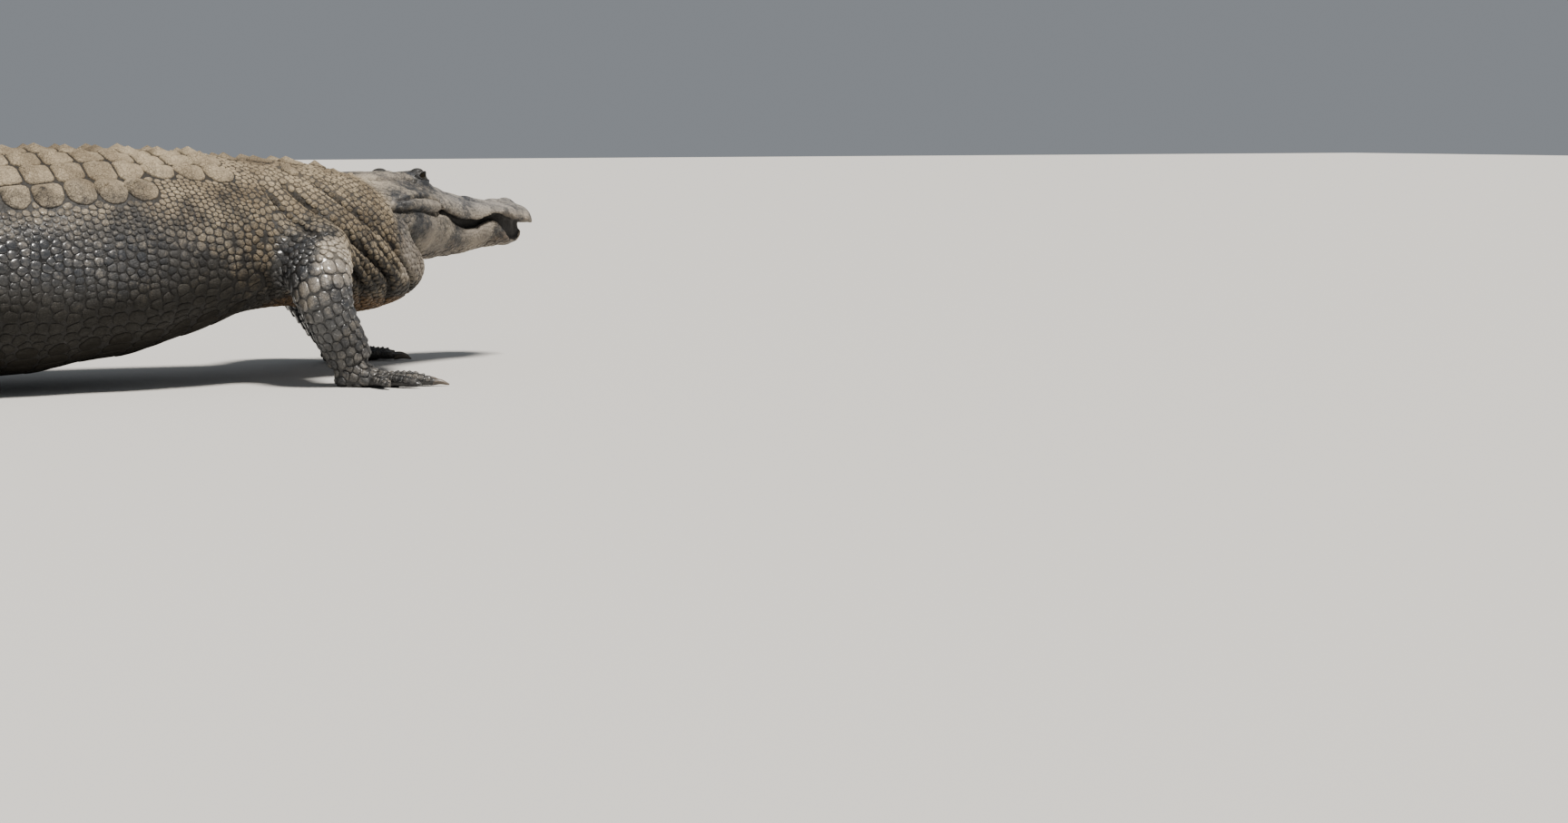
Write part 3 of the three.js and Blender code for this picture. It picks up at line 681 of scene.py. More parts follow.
# Nostrils: a crescent pit on each side of the disc at the snout's tip.
nostril_at, nostril_left = 0.072, 0.0165  # a share of the head's length, and metres
nostrils = [head_point(nostril_at, left, skull["crown"](nostril_at)) for left in (nostril_left, -nostril_left)]
for nostril in nostrils:
    away = (points - nostril) @ head_turn - [0, 0, 0.003]
    hollow = np.exp(-((away[:, 0] / 0.0075) ** 2) - ((away[:, 1] / 0.0045) ** 2) - (away[:, 2] / 0.02) ** 2)
    rim = bump(np.hypot(away[:, 0], away[:, 1] * 1.4) - 0.0105, 0.0035) * (np.abs(away[:, 2]) < 0.02)
    points += out * (0.0014 * rim * on_head)[:, None]
    points[:, 2] -= 0.008 * hollow * on_head

# Eyelids: a rim round an almond opening, behind which the skin drops below the eyeball.
gazes = {}
for name, seat in eye_seats.items():
    gaze = head_turn @ unit(np.array([0.30, 0.90 if name == "eye_left" else -0.90, 0.30]))
    level = unit(np.cross([0, 0, 1], gaze))
    upward = np.cross(gaze, level)
    gazes[name] = (gaze, level, upward)
    ray = points - seat
    away = np.linalg.norm(ray, axis=1)
    ray /= np.maximum(away, 1e-6)[:, None]
    ahead, sideways, above = ray @ gaze, ray @ level, ray @ upward
    opening = np.hypot(sideways / 0.76, (above + 0.02) / np.where(above > -0.02, 0.34, 0.40))
    opening = np.where(ahead > 0, opening, 9)
    lid = eye["radius"] + 0.0030 + 0.0010 * bump(opening - 1.10, 0.10) - 0.0016 * bump(opening - 1.5, 0.12)
    fold_over = 0.0014 * bump(opening - 1.5, 0.12) * (above > 0)
    on_ball = (away < eye["radius"] + 0.0075) * (ahead > 0)
    shut = np.where(opening < 1, eye["radius"] - 0.003, np.where(opening < 1.3, lid, away - fold_over))
    points += ray * ((shut - away) * on_ball)[:, None]

# Only the soles, the webs and the tail's underside reach the floor.
FLOOR_GAP = 0.0022
points[:, 2] = np.maximum(points[:, 2], FLOOR_GAP)
move_to(hide.data, points)

# What is laid out on the skin is read from this finer mesh. The piece itself is then thinned where
# scales cover it.
skin_points, skin_normals = points, normals_of(hide.data)
hide_tree = BVHTree.FromPolygons(points.tolist(), [tuple(p.vertices) for p in hide.data.polygons])
FURROW = 0.0022  # depth of a furrow that counts as 1


def hollows(mesh, times):
    """How deep in a fold each point lies, about 0 on the flat and 1 in a furrow."""
    places, mean = coordinates_of(mesh), neighbour_mean(mesh)
    around = places
    for _ in range(times):
        around = mean(around)
    depth = ((around - places) * normals_of(mesh)).sum(1)
    return mean(mean(depth)) / FURROW


skin_hollow = hollows(hide.data, 12)

HIDE_TRIANGLES = 185000
rough = (at > 1.06) | (up < -0.17)
plain = hide.vertex_groups.new(name="plain")
plain.add(np.flatnonzero(rough).tolist(), 1.0, "REPLACE")
plain.add(np.flatnonzero(~rough).tolist(), 0.12, "REPLACE")
hide.data.calc_loop_triangles()
thin = hide.modifiers.new("thin", "DECIMATE")
thin.ratio = HIDE_TRIANGLES / len(hide.data.loop_triangles)
thin.vertex_group, thin.vertex_group_factor = "plain", 1.0
finished(hide)
hide.vertex_groups.clear()


# Markings: mud dried on the back, wet flanks darker toward the belly, partly dark hide and partly
# painted shade, wet legs darker toward the wrists, an ochre throat, a bluish snout.
def on_limbs(places):
    """1 on a limb or foot and 0 on the body, and how far down the limb, in joints."""
    most, down = np.zeros(len(places)), np.zeros(len(places))
    steps = np.linspace(0.3, 2, 18)
    for name, tube in limb_tubes.items():
        away = np.linalg.norm(places[:, None] - tube.middle(steps)[None], axis=2) / tube.across(steps)
        foot = np.linalg.norm(places - foot_way(name)(0.06, 0, 0.02), axis=1)
        own = np.maximum(smooth(1.45, 1.12, away.min(1)), smooth(0.19, 0.16, foot))
        down = np.where(own > most, np.where(foot < 0.12, 2.2, steps[away.argmin(1)]), down)
        most = np.maximum(most, own)
    return most, down


# How much dry mud lies on trunk and neck, from the back's middle, 0, to the belly's, 1.
trunk_mud = through([0, 0.18, 0.26, 0.34, 0.44, 0.6, 0.8, 1], [0.95, 0.90, 0.68, 0.42, 0.22, 0.10, 0.04, 0])
neck_mud = through([0, 0.15, 0.3, 0.5, 0.66, 0.8, 1], [0.88, 0.76, 0.60, 0.48, 0.30, 0.10, 0.02])


def on_face(at, up, whole=0.98):
    """1 on the head, fading to 0 over the skull's back and the throat."""
    return smooth(1.04, whole, at) * smooth(-0.125, -0.095, up)


def over(below, cover, value):
    """Below, with that value laid over it where cover is 1."""
    return below * (1 - cover) + cover * value


def markings(places):
    """What lies on the hide at each place, each from 0 to 1."""
    along, share, _, _ = body_place(places)
    x = body["x"](along) / MM
    at, _, up = in_head(places)
    head = on_face(at, up)
    limb, down = on_limbs(places)
    limb = limb * smooth(0.30, 0.75, down)
    patchy, fine = waves(places, 0.17, 41), waves(places, 0.05, 42)
    wandering = np.clip(share + 0.035 * patchy + 0.02 * fine, 0, 1)
    forward, tailward = smooth(-260, 0, x), smooth(-1000, -1500, x)
    mud = trunk_mud(wandering) * (1 - forward) * (1 - 0.45 * tailward) + neck_mud(wandering) * forward
    wet = bump(share - 0.44 + 0.03 * patchy, 0.11) * smooth(-330, -520, x) * 0.9
    wet = (wet + 0.12 * smooth(0.5, 0.7, share)) * (1 - 0.6 * tailward)
    # Bluish where the flank is wet: partly the horn's own colour, partly painted reflection of the sky.
    blue = bump(share - 0.46, 0.14) * smooth(-100, -450, x) * (1 - tailward) * 0.75
    # Darker toward the belly: partly the hide's own dark colour, partly painted shade under the body.
    dark = smooth(0.42, 0.60, wandering) * (1 - 0.3 * smooth(0.88, 0.98, share)) * (1 - 0.8 * forward)
    warm = smooth(0.64, 0.84, share) * smooth(-120, 20, x)
    warm = np.maximum(warm, 0.55 * smooth(0.84, 0.97, share) * (1 - forward))
    # The head: dusty cheeks, bluish snout, a brown band along the lower edge of the jaw.
    high = smooth(0.02, 0.05, up)
    keel = up - mandible["keel"](at)
    dust = 0.56 + 0.20 * fine + 0.10 * patchy + 0.06 * (1 - high)
    stain = bump(at - 0.86, 0.07) * bump(up + 0.005, 0.03)
    stain = stain + 0.5 * bump(at - 0.62, 0.04) * bump(up - 0.02, 0.03)
    # Round the lids less dust and a dark ring: painted shade of the brow, partly dark lid skin.
    to_lids = nearest_of(eye_seats.values(), places)
    mud = over(mud, head, dust * (1 - 0.7 * stain) * (1 - 0.75 * smooth(0.034, 0.020, to_lids)))
    blue = over(blue, head, 0.55 + 0.40 * high * smooth(0.78, 0.55, at))
    dark = over(dark, head, 0.8 * smooth(0.0215, 0.0180, to_lids))
    brown = (1 - smooth(0.012, 0.045, keel + 0.012 * fine)) * (1 - high)
    brown = np.maximum(brown, 0.6 * smooth(0.36, 0.2, at) * (1 - high))
    warm = over(warm, head, 0.40 * brown)
    wet = over(wet, head, 0.12)
    # The limbs: dark and wet, a smear of dry mud on the upper arm, dust on the toes.
    smear = smooth(-0.1, 0.7, waves(places, 0.11, 44)) * smooth(1.4, 0.8, down) * 0.85
    toes = smooth(1.9, 2.1, down)
    mud = over(mud, limb, 0.06 + smear + 0.22 * toes)
    wet = over(wet, limb, 0.75 - 0.35 * toes)
    # Bluish as on the flank, partly painted reflection of the sky on wet horn.
    blue = over(blue, limb, 0.5)
    warm = over(warm, limb, 0.0)
    dark = over(dark, limb, 0.25 * smooth(0.9, 1.6, down))
    # Painted shadow: between the jaws the hide is drawn fully dark and without mud.
    inner = in_mouth(places)
    mud, dark = mud * ~inner, np.where(inner, 1.0, dark)
    return {"mud": mud, "wet": wet, "blue": blue, "warm": warm, "dark": dark}


def in_mouth(places):
    """Whether each place of the head lies between the jaws, behind the lips."""
    at, left, up = in_head(places)
    between = np.abs(left) < 0.88 * np.minimum(skull["half"](at), mandible["half"](at))
    between &= up < np.maximum(skull["lip"](at), mandible["rim"](at)) + 0.008
    return between & (up > mandible["rim"](at) - 0.004) & (at < 0.75)


def write(mesh, name, domain, values, kind="FLOAT"):
    """Gives a mesh an attribute that the finishes and the scale tree read."""
    layer = mesh.attributes.new(name, kind, domain)
    layer.data.foreach_set("value" if kind == "FLOAT" else "vector", np.asarray(values, np.float32).ravel())


def marked(made):
    """The piece with the markings on its points."""
    for name, values in markings(coordinates_of(made.data)).items():
        write(made.data, name, "POINT", np.clip(values, 0, 1))
    return made


marked(hide)
places = coordinates_of(hide.data)
at, _, up = in_head(places)
bare = on_face(at, up, 0.99)
on_neck = smooth(in_design(-170), in_design(-50), body_place(places)[0])
# The gap between the jaws counts as a full crease, darkened as painted shadow.
furrows = np.maximum(hollows(hide.data, 6), 0.96 * in_mouth(places))
# Low height darkens the hide between the scales, partly as dirt and partly as painted shade; creases darken
# its furrows as painted shade.
write(hide.data, "height", "POINT", 0.24 + 0.46 * bare + 0.14 * on_neck * (1 - bare))
write(hide.data, "crease", "POINT", np.clip(furrows, 0, 1))
write(hide.data, "tone", "POINT", 0.5 + 0.4 * waves(places, 0.02, 51))
hide.data.shade_smooth()


class Nodes:
    """Short names for the nodes that the finishes and the scales' trees are made of."""

    def __init__(self, tree):
        self.tree = tree

    def add(self, kind, settings=(), **inputs):
        """A node, with its settings, and its inputs by name or by _number."""
        node = self.tree.nodes.new(kind)
        for key, value in settings:
            setattr(node, key, value)
        for key, value in inputs.items():
            socket = node.inputs[int(key[1:])] if key[1:].isdigit() else node.inputs[key.replace("_", " ")]
            if isinstance(value, bpy.types.NodeSocket):
                self.tree.links.new(value, socket)
            elif value is not None:
                socket.default_value = value
        return node

    def maths(self, operation, a, b):
        return self.add("ShaderNodeMath", [("operation", operation)], _0=a, _1=b).outputs[0]

    def plus(self, a, b):
        return self.maths("ADD", a, b)

    def minus(self, a, b):
        return self.maths("SUBTRACT", a, b)

    def times(self, a, b):
        return self.maths("MULTIPLY", a, b)

    def mixed(self, share, a, b):
        """Two colours mixed, each a socket or red, green and blue."""
        a, b = ((*colour, 1) if isinstance(colour, tuple) else colour for colour in (a, b))
        return self.add("ShaderNodeMix", [("data_type", "RGBA")], _0=share, _6=a, _7=b).outputs[2]

    def between(self, value, low, high, least=0.0, most=1.0):
        """A smooth step from least to most, between low and high."""
        ends = {"_1": low, "_2": high, "_3": least, "_4": most}
        settings = [("interpolation_type", "SMOOTHSTEP")]
        return self.add("ShaderNodeMapRange", settings, _0=value, **ends).outputs[0]

    def place(self):
        return self.add("ShaderNodeTexCoord").outputs["Object"]

    def mark(self, name):
        """What the piece's points carry under that name."""
        return self.add("ShaderNodeAttribute", [("attribute_name", name)]).outputs["Fac"]

    def noise(self, place, scale, detail=4.0, roughness=0.55):
        return self.add(
            "ShaderNodeTexNoise", Vector=place, Scale=scale, Detail=detail, Roughness=roughness
        ).outputs[0]

    def cells(self, place, feature, scale):
        return self.add("ShaderNodeTexVoronoi", [("feature", feature)], Vector=place, Scale=scale).outputs[0]

    def bumps(self, height, strength, deep):
        return self.add("ShaderNodeBump", Strength=strength, Distance=deep, Height=height).outputs[0]

    def surface(self, **inputs):
        """Ends a material in one surface with these values."""
        surface = self.add("ShaderNodeBsdfPrincipled", **inputs)
        self.add("ShaderNodeOutputMaterial", Surface=surface.outputs[0])


def shader_group(name, inputs, outputs):
    """An empty shader node group, with its sockets by name and kind."""
    tree = bpy.data.node_groups.new(name, "ShaderNodeTree")
    for way, labels in (("INPUT", inputs), ("OUTPUT", outputs)):
        for label, kind in labels.items():
            tree.interface.new_socket(label, in_out=way, socket_type="NodeSocket" + kind)
    return Nodes(tree), tree.nodes.new("NodeGroupInput").outputs, tree.nodes.new("NodeGroupOutput").inputs


def blank_finish(name):
    """A new material, emptied, and the nodes to fill it with."""
    material = bpy.data.materials.new(name)
    material.use_nodes = True
    material.node_tree.nodes.clear()
    return material, Nodes(material.node_tree)


MARKS = ("Mud", "Wet", "Blue", "Warm", "Dark", "Tone", "Height", "Crease")
FLAKES = 125.0  # cracked flakes to the metre
HORN_DARK, HORN_PALE = (0.012, 0.011, 0.010), (0.050, 0.045, 0.038)
WET_SHEEN_DARK, WET_SHEEN_PALE = (0.013, 0.016, 0.021), (0.050, 0.057, 0.070)
OCHRE_DARK, OCHRE_PALE = (0.050, 0.027, 0.011), (0.18, 0.105, 0.045)
MUD_DAMP, MUD_DRY, DUST = (0.115, 0.088, 0.056), (0.33, 0.270, 0.184), (0.225, 0.230, 0.240)
DARK_HIDE_AND_SHADE, GAP_DIRT_AND_SHADE = (0.011, 0.0095, 0.007), (0.008, 0.007, 0.006)


def colour_group():
    """Colour, roughness and wetness of horn and hide from what lies on them."""
    n, given, result = shader_group(
        "hide_colours",
        {"Place": "Vector", **{label: "Float" for label in (*MARKS, "Cracks", "Dirt")}},
        {"Color": "Color", "Roughness": "Float", "Wetness": "Float"},
    )
    place = given["Place"]
    broad, grainy = n.noise(place, 11.0, 3.0), n.noise(place, 420.0, 3.0)
    middling = n.noise(place, 70.0, 6.0, 0.65)
    horn = n.mixed(n.between(n.plus(given["Tone"], middling), 0.6, 1.5), HORN_DARK, HORN_PALE)
    # Blue turns horn toward wet horn, whose bluish tint is partly painted reflection of the sky.
    horn = n.mixed(n.times(given["Blue"], 0.8), horn, n.mixed(middling, WET_SHEEN_DARK, WET_SHEEN_PALE))
    ochre = n.mixed(n.between(middling, 0.35, 0.7), OCHRE_DARK, OCHRE_PALE)
    horn = n.mixed(n.between(n.plus(given["Warm"], n.times(middling, 0.5)), 0.45, 1.1), horn, ochre)
    # Mud covers in patches, thickest on what stands high.
    cover = given["Mud"]
    patches = n.noise(place, 24.0)
    for field, weight in ((middling, 1.1), (grainy, 0.5), (patches, 0.9)):
        cover = n.plus(cover, n.times(n.minus(field, 0.5), weight))
    cover = n.plus(cover, n.times(n.minus(given["Height"], 0.8), 0.35))
    cover = n.between(cover, 0.18, 0.92)
    mud = n.mixed(n.between(n.plus(broad, n.times(grainy, 0.6)), 0.55, 1.05), MUD_DAMP, MUD_DRY)
    mud = n.mixed(n.times(given["Blue"], 0.55), mud, DUST)
    colour = n.mixed(cover, horn, mud)
    # Cracks hold dark dirt. The gaps between scales are darkened partly as dirt and partly as painted shade,
    # and furrows as painted shade.
    flakes = n.cells(place, "DISTANCE_TO_EDGE", FLAKES)
    crack = n.times(n.between(flakes, 0.05, 0.0), n.times(given["Cracks"], n.between(middling, 0.45, 0.6)))
    gaps = n.times(n.between(given["Height"], 0.66, 0.22), given["Dirt"])
    dirt = n.plus(gaps, n.plus(n.times(crack, 0.35), n.times(given["Crease"], 0.9)))
    # The dark mark: partly dark hide, partly painted shade under the body, round the eyes and between the
    # jaws.
    colour = n.mixed(n.times(given["Dark"], 0.94), colour, DARK_HIDE_AND_SHADE)
    colour = n.mixed(n.maths("MINIMUM", dirt, 0.93), colour, GAP_DIRT_AND_SHADE)
    # Wet horn is smooth under a film of water, mud is dull.
    damp = n.times(given["Wet"], n.between(n.plus(middling, n.times(given["Wet"], 0.3)), 0.40, 0.72))
    dry = n.plus(n.times(cover, 0.28), n.plus(0.50, n.times(grainy, 0.18)))
    rough = n.plus(n.minus(dry, n.times(damp, 0.34)), n.times(given["Dark"], 0.15))
    for label, value in (("Color", colour), ("Roughness", rough), ("Wetness", damp)):
        n.tree.links.new(value, result[label])
    return n.tree


def relief_group():
    """The height of pits, grain and fine cracks, about 0 to 1."""
    inputs = {"Place": "Vector", "Pits": "Float", "Cracks": "Float", "Mud": "Float"}
    n, given, result = shader_group("fine_relief", inputs, {"Height": "Float"})
    place = given["Place"]
    grain = n.times(n.noise(place, 260.0, 5.0, 0.7), n.plus(0.35, n.times(given["Mud"], 0.4)))
    lumps = n.times(n.noise(place, 60.0, 2.0), 0.5)
    pits = n.times(n.between(n.cells(place, "F1", 210.0), 0.32, 0.08), given["Pits"])
    cracks = n.times(n.between(n.cells(place, "DISTANCE_TO_EDGE", FLAKES), 0.09, 0.0), given["Cracks"])
    n.tree.links.new(n.minus(n.plus(grain, lumps), n.plus(pits, cracks)), result["Height"])
    return n.tree


hide_colours, fine_relief = colour_group(), relief_group()


# dirt: how strongly the low ground between scales is darkened, as dirt and as painted shade.
def hide_finish(name, pits, cracks, relief, gloss, dirt=1.0):
    """Horn or hide: what lies on it comes with the piece's points, and grain and cracks are laid over.
    relief is their depth in metres."""
    material, n = blank_finish(name)
    shared = {"Place": n.place(), "Cracks": cracks}
    marks = {label: n.mark(label.lower()) for label in MARKS}
    colours = n.add("ShaderNodeGroup", [("node_tree", hide_colours)], **shared, Dirt=dirt, **marks).outputs
    heights = n.add("ShaderNodeGroup", [("node_tree", fine_relief)], **shared, Pits=pits, Mud=marks["Mud"])
    normal = n.bumps(heights.outputs[0], 1.0, relief)
    n.surface(
        Base_Color=colours["Color"], Roughness=colours["Roughness"], Normal=normal,
        Coat_Weight=colours["Wetness"], Coat_Roughness=0.16, Specular_IOR_Level=gloss,
    )
    return material


FLESH = [
    "head", "jaw", "neck", "trunk_front", "trunk_middle", "trunk_rear", "tail_base", "tail_rear", "tail_tip",
    *(name + part for name in limbs if "fore" in name for part in ("_upper_arm", "_forearm", "_hand")),
    *(name + part for name in limbs if "hind" in name for part in ("_thigh", "_shank", "_foot")),
]
hide.data.materials.append(hide_finish("bare_hide", pits=0.5, cracks=0.35, relief=0.0009, gloss=0.35))
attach(hide, "root")
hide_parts(*FLESH)


# Where the scales grow
# Each scale fills the ground between its neighbours, so all of them are laid out together: in
# cross rows over back, flank and belly, in rings round tail and limbs, smaller in every fold.
FEEL = 0.06  # how far from the outline the hide is looked for, outwards and inwards


def on_hide(wanted, outward, slack):
    """The hide under each place, its outward direction, and whether it lies within slack of it."""
    found, facing, kept = [], [], []
    for place, way in zip(wanted, outward):
        way = Vector(way)
        spot, normal, _, distance = hide_tree.ray_cast(Vector(place) + way * FEEL, -way, 2 * FEEL)
        kept.append(spot is not None and abs(distance - FEEL) < slack)
        found.append(spot if kept[-1] else place)
        facing.append(normal if kept[-1] else way)
    return np.array(found), np.array(facing), np.array(kept, bool)


# The outline flattened: places along it, and shares of the way from the back's middle to the belly's.
FLAT_LONG, FLAT_HALF = 500, 60
flat_alongs = np.linspace(0.01, body_end - 0.004, FLAT_LONG)
flat_shares = np.linspace(-1, 1, 2 * FLAT_HALF + 1)
half_turn = np.linspace(math.pi / 2, -math.pi / 2, 91)
flat_places = np.empty((FLAT_LONG, 2 * FLAT_HALF + 1, 3))
girths = np.empty(FLAT_LONG)
halves = (half_turn, slice(FLAT_HALF, None)), (math.pi - half_turn, slice(FLAT_HALF, None, -1))
for turns, wanted in halves:
    shares = np.abs(flat_shares[wanted])
    for i, half_ring in enumerate(body_point(flat_alongs[:, None], turns[None], 1.0)):
        run = np.concatenate([[0], np.cumsum(np.linalg.norm(np.diff(half_ring, axis=0), axis=1))])
        flat_places[i, wanted] = np.stack([np.interp(shares, run / run[-1], c) for c in half_ring.T], 1)
        girths[i] = run[-1]
flat_ways = [np.gradient(flat_places, axis=axis) for axis in (0, 1)]
flat_out = unit(np.cross(flat_ways[0], flat_ways[1]))


def at_share(alongs, shares):
    """Points of the outline and their outward and backward directions, the left side positive."""
    alongs, shares = np.broadcast_arrays(np.asarray(alongs, float), np.asarray(shares, float))
    i = np.clip((alongs - flat_alongs[0]) / (flat_alongs[1] - flat_alongs[0]), 0, FLAT_LONG - 1.001)
    j = np.clip((shares + 1) * FLAT_HALF, 0, 2 * FLAT_HALF - 0.001)
    a, b = i.astype(int), j.astype(int)
    u, v = (i - a)[:, None], (j - b)[:, None]
    corners = (a, b, 1 - u, 1 - v), (a + 1, b, u, 1 - v), (a, b + 1, 1 - u, v), (a + 1, b + 1, u, v)
    here, out, back = (
        sum(table[row, column] * x * y for row, column, x, y in corners)
        for table in (flat_places, flat_out, -flat_ways[0])
    )
    return here, unit(out), unit(back)


def girth_at(along):
    """From the back's middle to the belly's, over one side."""
    return float(np.interp(along, flat_alongs, girths))


chance = np.random.default_rng(7)
crest_join = in_design(-1840) - 0.06
seeds = []  # for each group of scales, what plant says of them


def plant(kind, places, outward, lie, size, chart, slack=0.012, jitter=0.0):
    """Adds scales: what they are, where they grow, which way they lie, how far apart they stand,
    and where they are on the flattened hide."""
    places, size = np.asarray(places, float), np.broadcast_to(size, len(places))
    lie = np.broadcast_to(lie, places.shape)
    if jitter:
        across = np.cross(outward, lie)
        shift = chance.uniform(-jitter, jitter, (2, len(places), 1)) * size[:, None]
        places = places + lie * shift[0] + across * shift[1]
    spots, normals, kept = on_hide(places, outward, slack)
    seeds.append({
        "kind": np.array([kind] * kept.sum()), "spot": spots[kept], "normal": normals[kept],
        "lie": lie[kept], "size": size[kept], "chart": np.asarray(chart, float)[kept],
    })


# Cross rows, from the vent forward to the shoulders and backward to the tail's tip.
ROW = 0.055  # from one cross row of the back to the next
TAPER = 0.985  # each row of the tail is that much shorter than the one before it
vent, shoulder = in_design(-1100), in_design(-150)
trunk_rows = np.arange(vent + ROW / 2, shoulder + 0.03, ROW)
tail_rows, step = [vent - ROW / 2], ROW
while tail_rows[-1] > 0.06:
    step *= TAPER
    tail_rows.append(tail_rows[-1] - step)


def row_of(kind, along, shares, size, slack=0.012, jitter=0.0, lean=0.0, bent=1.0):
    """One cross row of scales. lean carries it forward as it goes down to bent, in metres."""
    shares = np.asarray(shares, float)
    alongs = along + lean * (np.minimum(np.abs(shares), bent) - 0.3)
    here, out, back = at_share(alongs, shares)
    plant(kind, here, out, back, size, np.stack([alongs / body_end, 0.5 + shares / 2], 1), slack, jitter)


def both(shares):
    """The same shares on the left and on the right."""
    shares = np.asarray(shares, float)
    return np.concatenate([shares, -shares])


def spread(low, high, count):
    """The middles of so many equal steps from low to high."""
    return low + (np.arange(count) + 0.5) * (high - low) / count


# On the trunk: four scutes of the back on each side, three where it narrows, then three bands of
# flank scales. Each band has its shares of the half round, its columns to a row and its scales' height.
DORSAL = 0.083  # share of the half round that one scute of the back is wide
UPPER, MIDWAY, LOWER = 0.42, 0.57, 0.70  # where the bands end
slanting = {"lean": 0.09, "bent": UPPER}
for along in trunk_rows:
    x = float(body["x"](along)) / MM
    scutes = 4 if -900 < x < -250 else 3
    edge = scutes * DORSAL
    row_of("back", along, both(spread(0, edge, scutes)), 0.056, 0.02, 0.04, **slanting)
    girth = girth_at(along)
    upper = (edge, UPPER, 5, 0.0098) if x > -400 else (edge, UPPER, 4, 0.0112)
    for low, high, columns, tall in (upper, (UPPER, MIDWAY, 3, 0.0130), (MIDWAY, LOWER, 2, 0.0160)):
        rows = int(round((high - low) * girth / tall))
        for column in range(columns):
            shares = spread(low, high, rows) + 0.5 * (column % 2) * (high - low) / rows
            place = along + ((column + 0.5) / columns - 0.5) * ROW
            row_of("flank", place, both(shares), 0.84 * ROW / columns + 0.001, jitter=0.24, **slanting)
    row_of("belly", along, both(spread(LOWER, 1, 6)), 0.040, jitter=0.02, **slanting)

# On the tail: the crest's place on top, square scales down its sides, two rings to a row, and
# long plates below.
BELOW = 0.80
for along in tail_rows:
    girth = girth_at(along)
    upright = 0.10 if along > crest_join else 0.12
    rows = max(3, int(round((BELOW - upright) * girth / 0.025)))
    sides = both(spread(upright, BELOW, rows))
    for ring in (-0.24, 0.24):
        row_of("tail", along + ring * ROW, sides, min(0.024, 0.9 * girth / rows), jitter=0.05)
    row_of("belly", along, both([0.83, 0.92]), min(0.036, 0.26 * girth), jitter=0.02)
    row_of("tail", along, both([upright / 2]), 0.026, jitter=0.02)

# The nape's own scutes: four large ones in a square, smaller ones before and behind, and the
# little bosses behind the skull. Each pair has its place along, its share of the half round, its size.
nape_pairs = [
    ("nape", -98, 0.050, 0.042), ("nape", -40, 0.055, 0.052), ("nape", 20, 0.055, 0.052),
    ("nape", -8, 0.170, 0.038), ("nape", 72, 0.055, 0.036), ("boss", 112, 0.045, 0.026),
    ("boss", 116, 0.130, 0.024),
]
for kind, x, apart, size in nape_pairs:
    row_of(kind, in_design(x), both([apart]), size, slack=0.03)

# The neck, in leaning rows that follow its folds, finer toward the head.
along = shoulder + 0.045
count = 0
while along < body_end - 0.02:
    pitch = 0.0115 - 0.0014 * smooth(in_design(-60), in_design(120), along)
    girth = girth_at(along)
    number = int(girth / (pitch * 0.92))
    shares = 0.04 + (np.arange(number) + 0.5 * (count % 2)) * 0.96 / number
    size = pitch * chance.uniform(0.85, 1.1)
    row_of("neck", along, both(shares), size, slack=0.022, jitter=0.34, lean=0.30)
    along += pitch
    count += 1

# Round the limbs, and over hands and feet.
LIMB_ROW = 0.0185
for name, tube in limb_tubes.items():
    shape, kind = limbs[name][0], "limb_" + name
    run = np.linalg.norm(np.diff(tube.middle(limb_places), axis=0), axis=1).sum()
    steps = int(run / LIMB_ROW)
    for k in range(8 if "fore" in name else 4, steps):
        down = 2 * k / steps
        finer = smooth(0.9, 1.5, down)
        girth = math.pi * float(tube.across(down) + tube.deep(down))
        number = int(girth / (0.0255 - 0.0075 * finer))
        turns = (np.arange(number) + 0.5 * (k % 2)) / number * 2 * math.pi
        ring = tube.rings(np.linspace(0, down, 12), turns, LIMB_COAT)[-1]
        lie = unit(tube.middle(down + 0.01)[0] - tube.middle(down - 0.01)[0])
        chart = np.stack([np.full(number, 0.04 + 0.30 * down), 0.02 + 0.96 * turns / (2 * math.pi)], 1)
        plant(kind, ring, unit(ring - tube.middle(down)), lie, 0.023 - 0.004 * finer, chart, 0.016, 0.12)
    long, wide, high = shape["palm"]
    onward = foot_way(name)
    ahead = onward(1, 0, 0) - onward(0, 0, 0)
    for i, forward in enumerate(np.arange(-0.2 * long, 0.98 * long, 0.0135)):
        lefts = (np.arange(-4, 5) + 0.5 * (i % 2)) * 0.0125
        lefts = lefts[np.abs(lefts) < wide * 0.92]
        spots = onward(forward, lefts, high * 0.9)
        chart = np.stack([np.full(len(lefts), 0.68 + 0.12 * forward / long), 0.5 + lefts / wide * 0.4], 1)
        plant(kind, spots, np.tile([0, 0, 1.0], (len(lefts), 1)), ahead, 0.013, chart, 0.04, 0.08)
    for i in range(len(shape["toes"])):
        _, reach_along, length, thick = toe(name, i)
        steps = np.arange(0.012, length - 0.006, 0.0105)
        centre = np.stack([reach_along(s, thick * 1.5) for s in steps])
        way = reach_along(1, 0) - reach_along(0, 0)
        sideways = np.cross([0, 0, 1], way)
        for off in (-1, 0, 1):
            spots = centre + sideways * off * thick * 0.62
            out = unit(np.tile(np.array([0, 0, 1.0]) + sideways * off * 0.8, (len(steps), 1)))
            strip = np.full(len(steps), 0.1 + 0.17 * i + 0.03 * off)
            chart = np.stack([0.82 + 0.16 * steps / length, strip], 1)
            plant(kind, spots, out, way, 0.0105, chart, 0.02, 0.04)

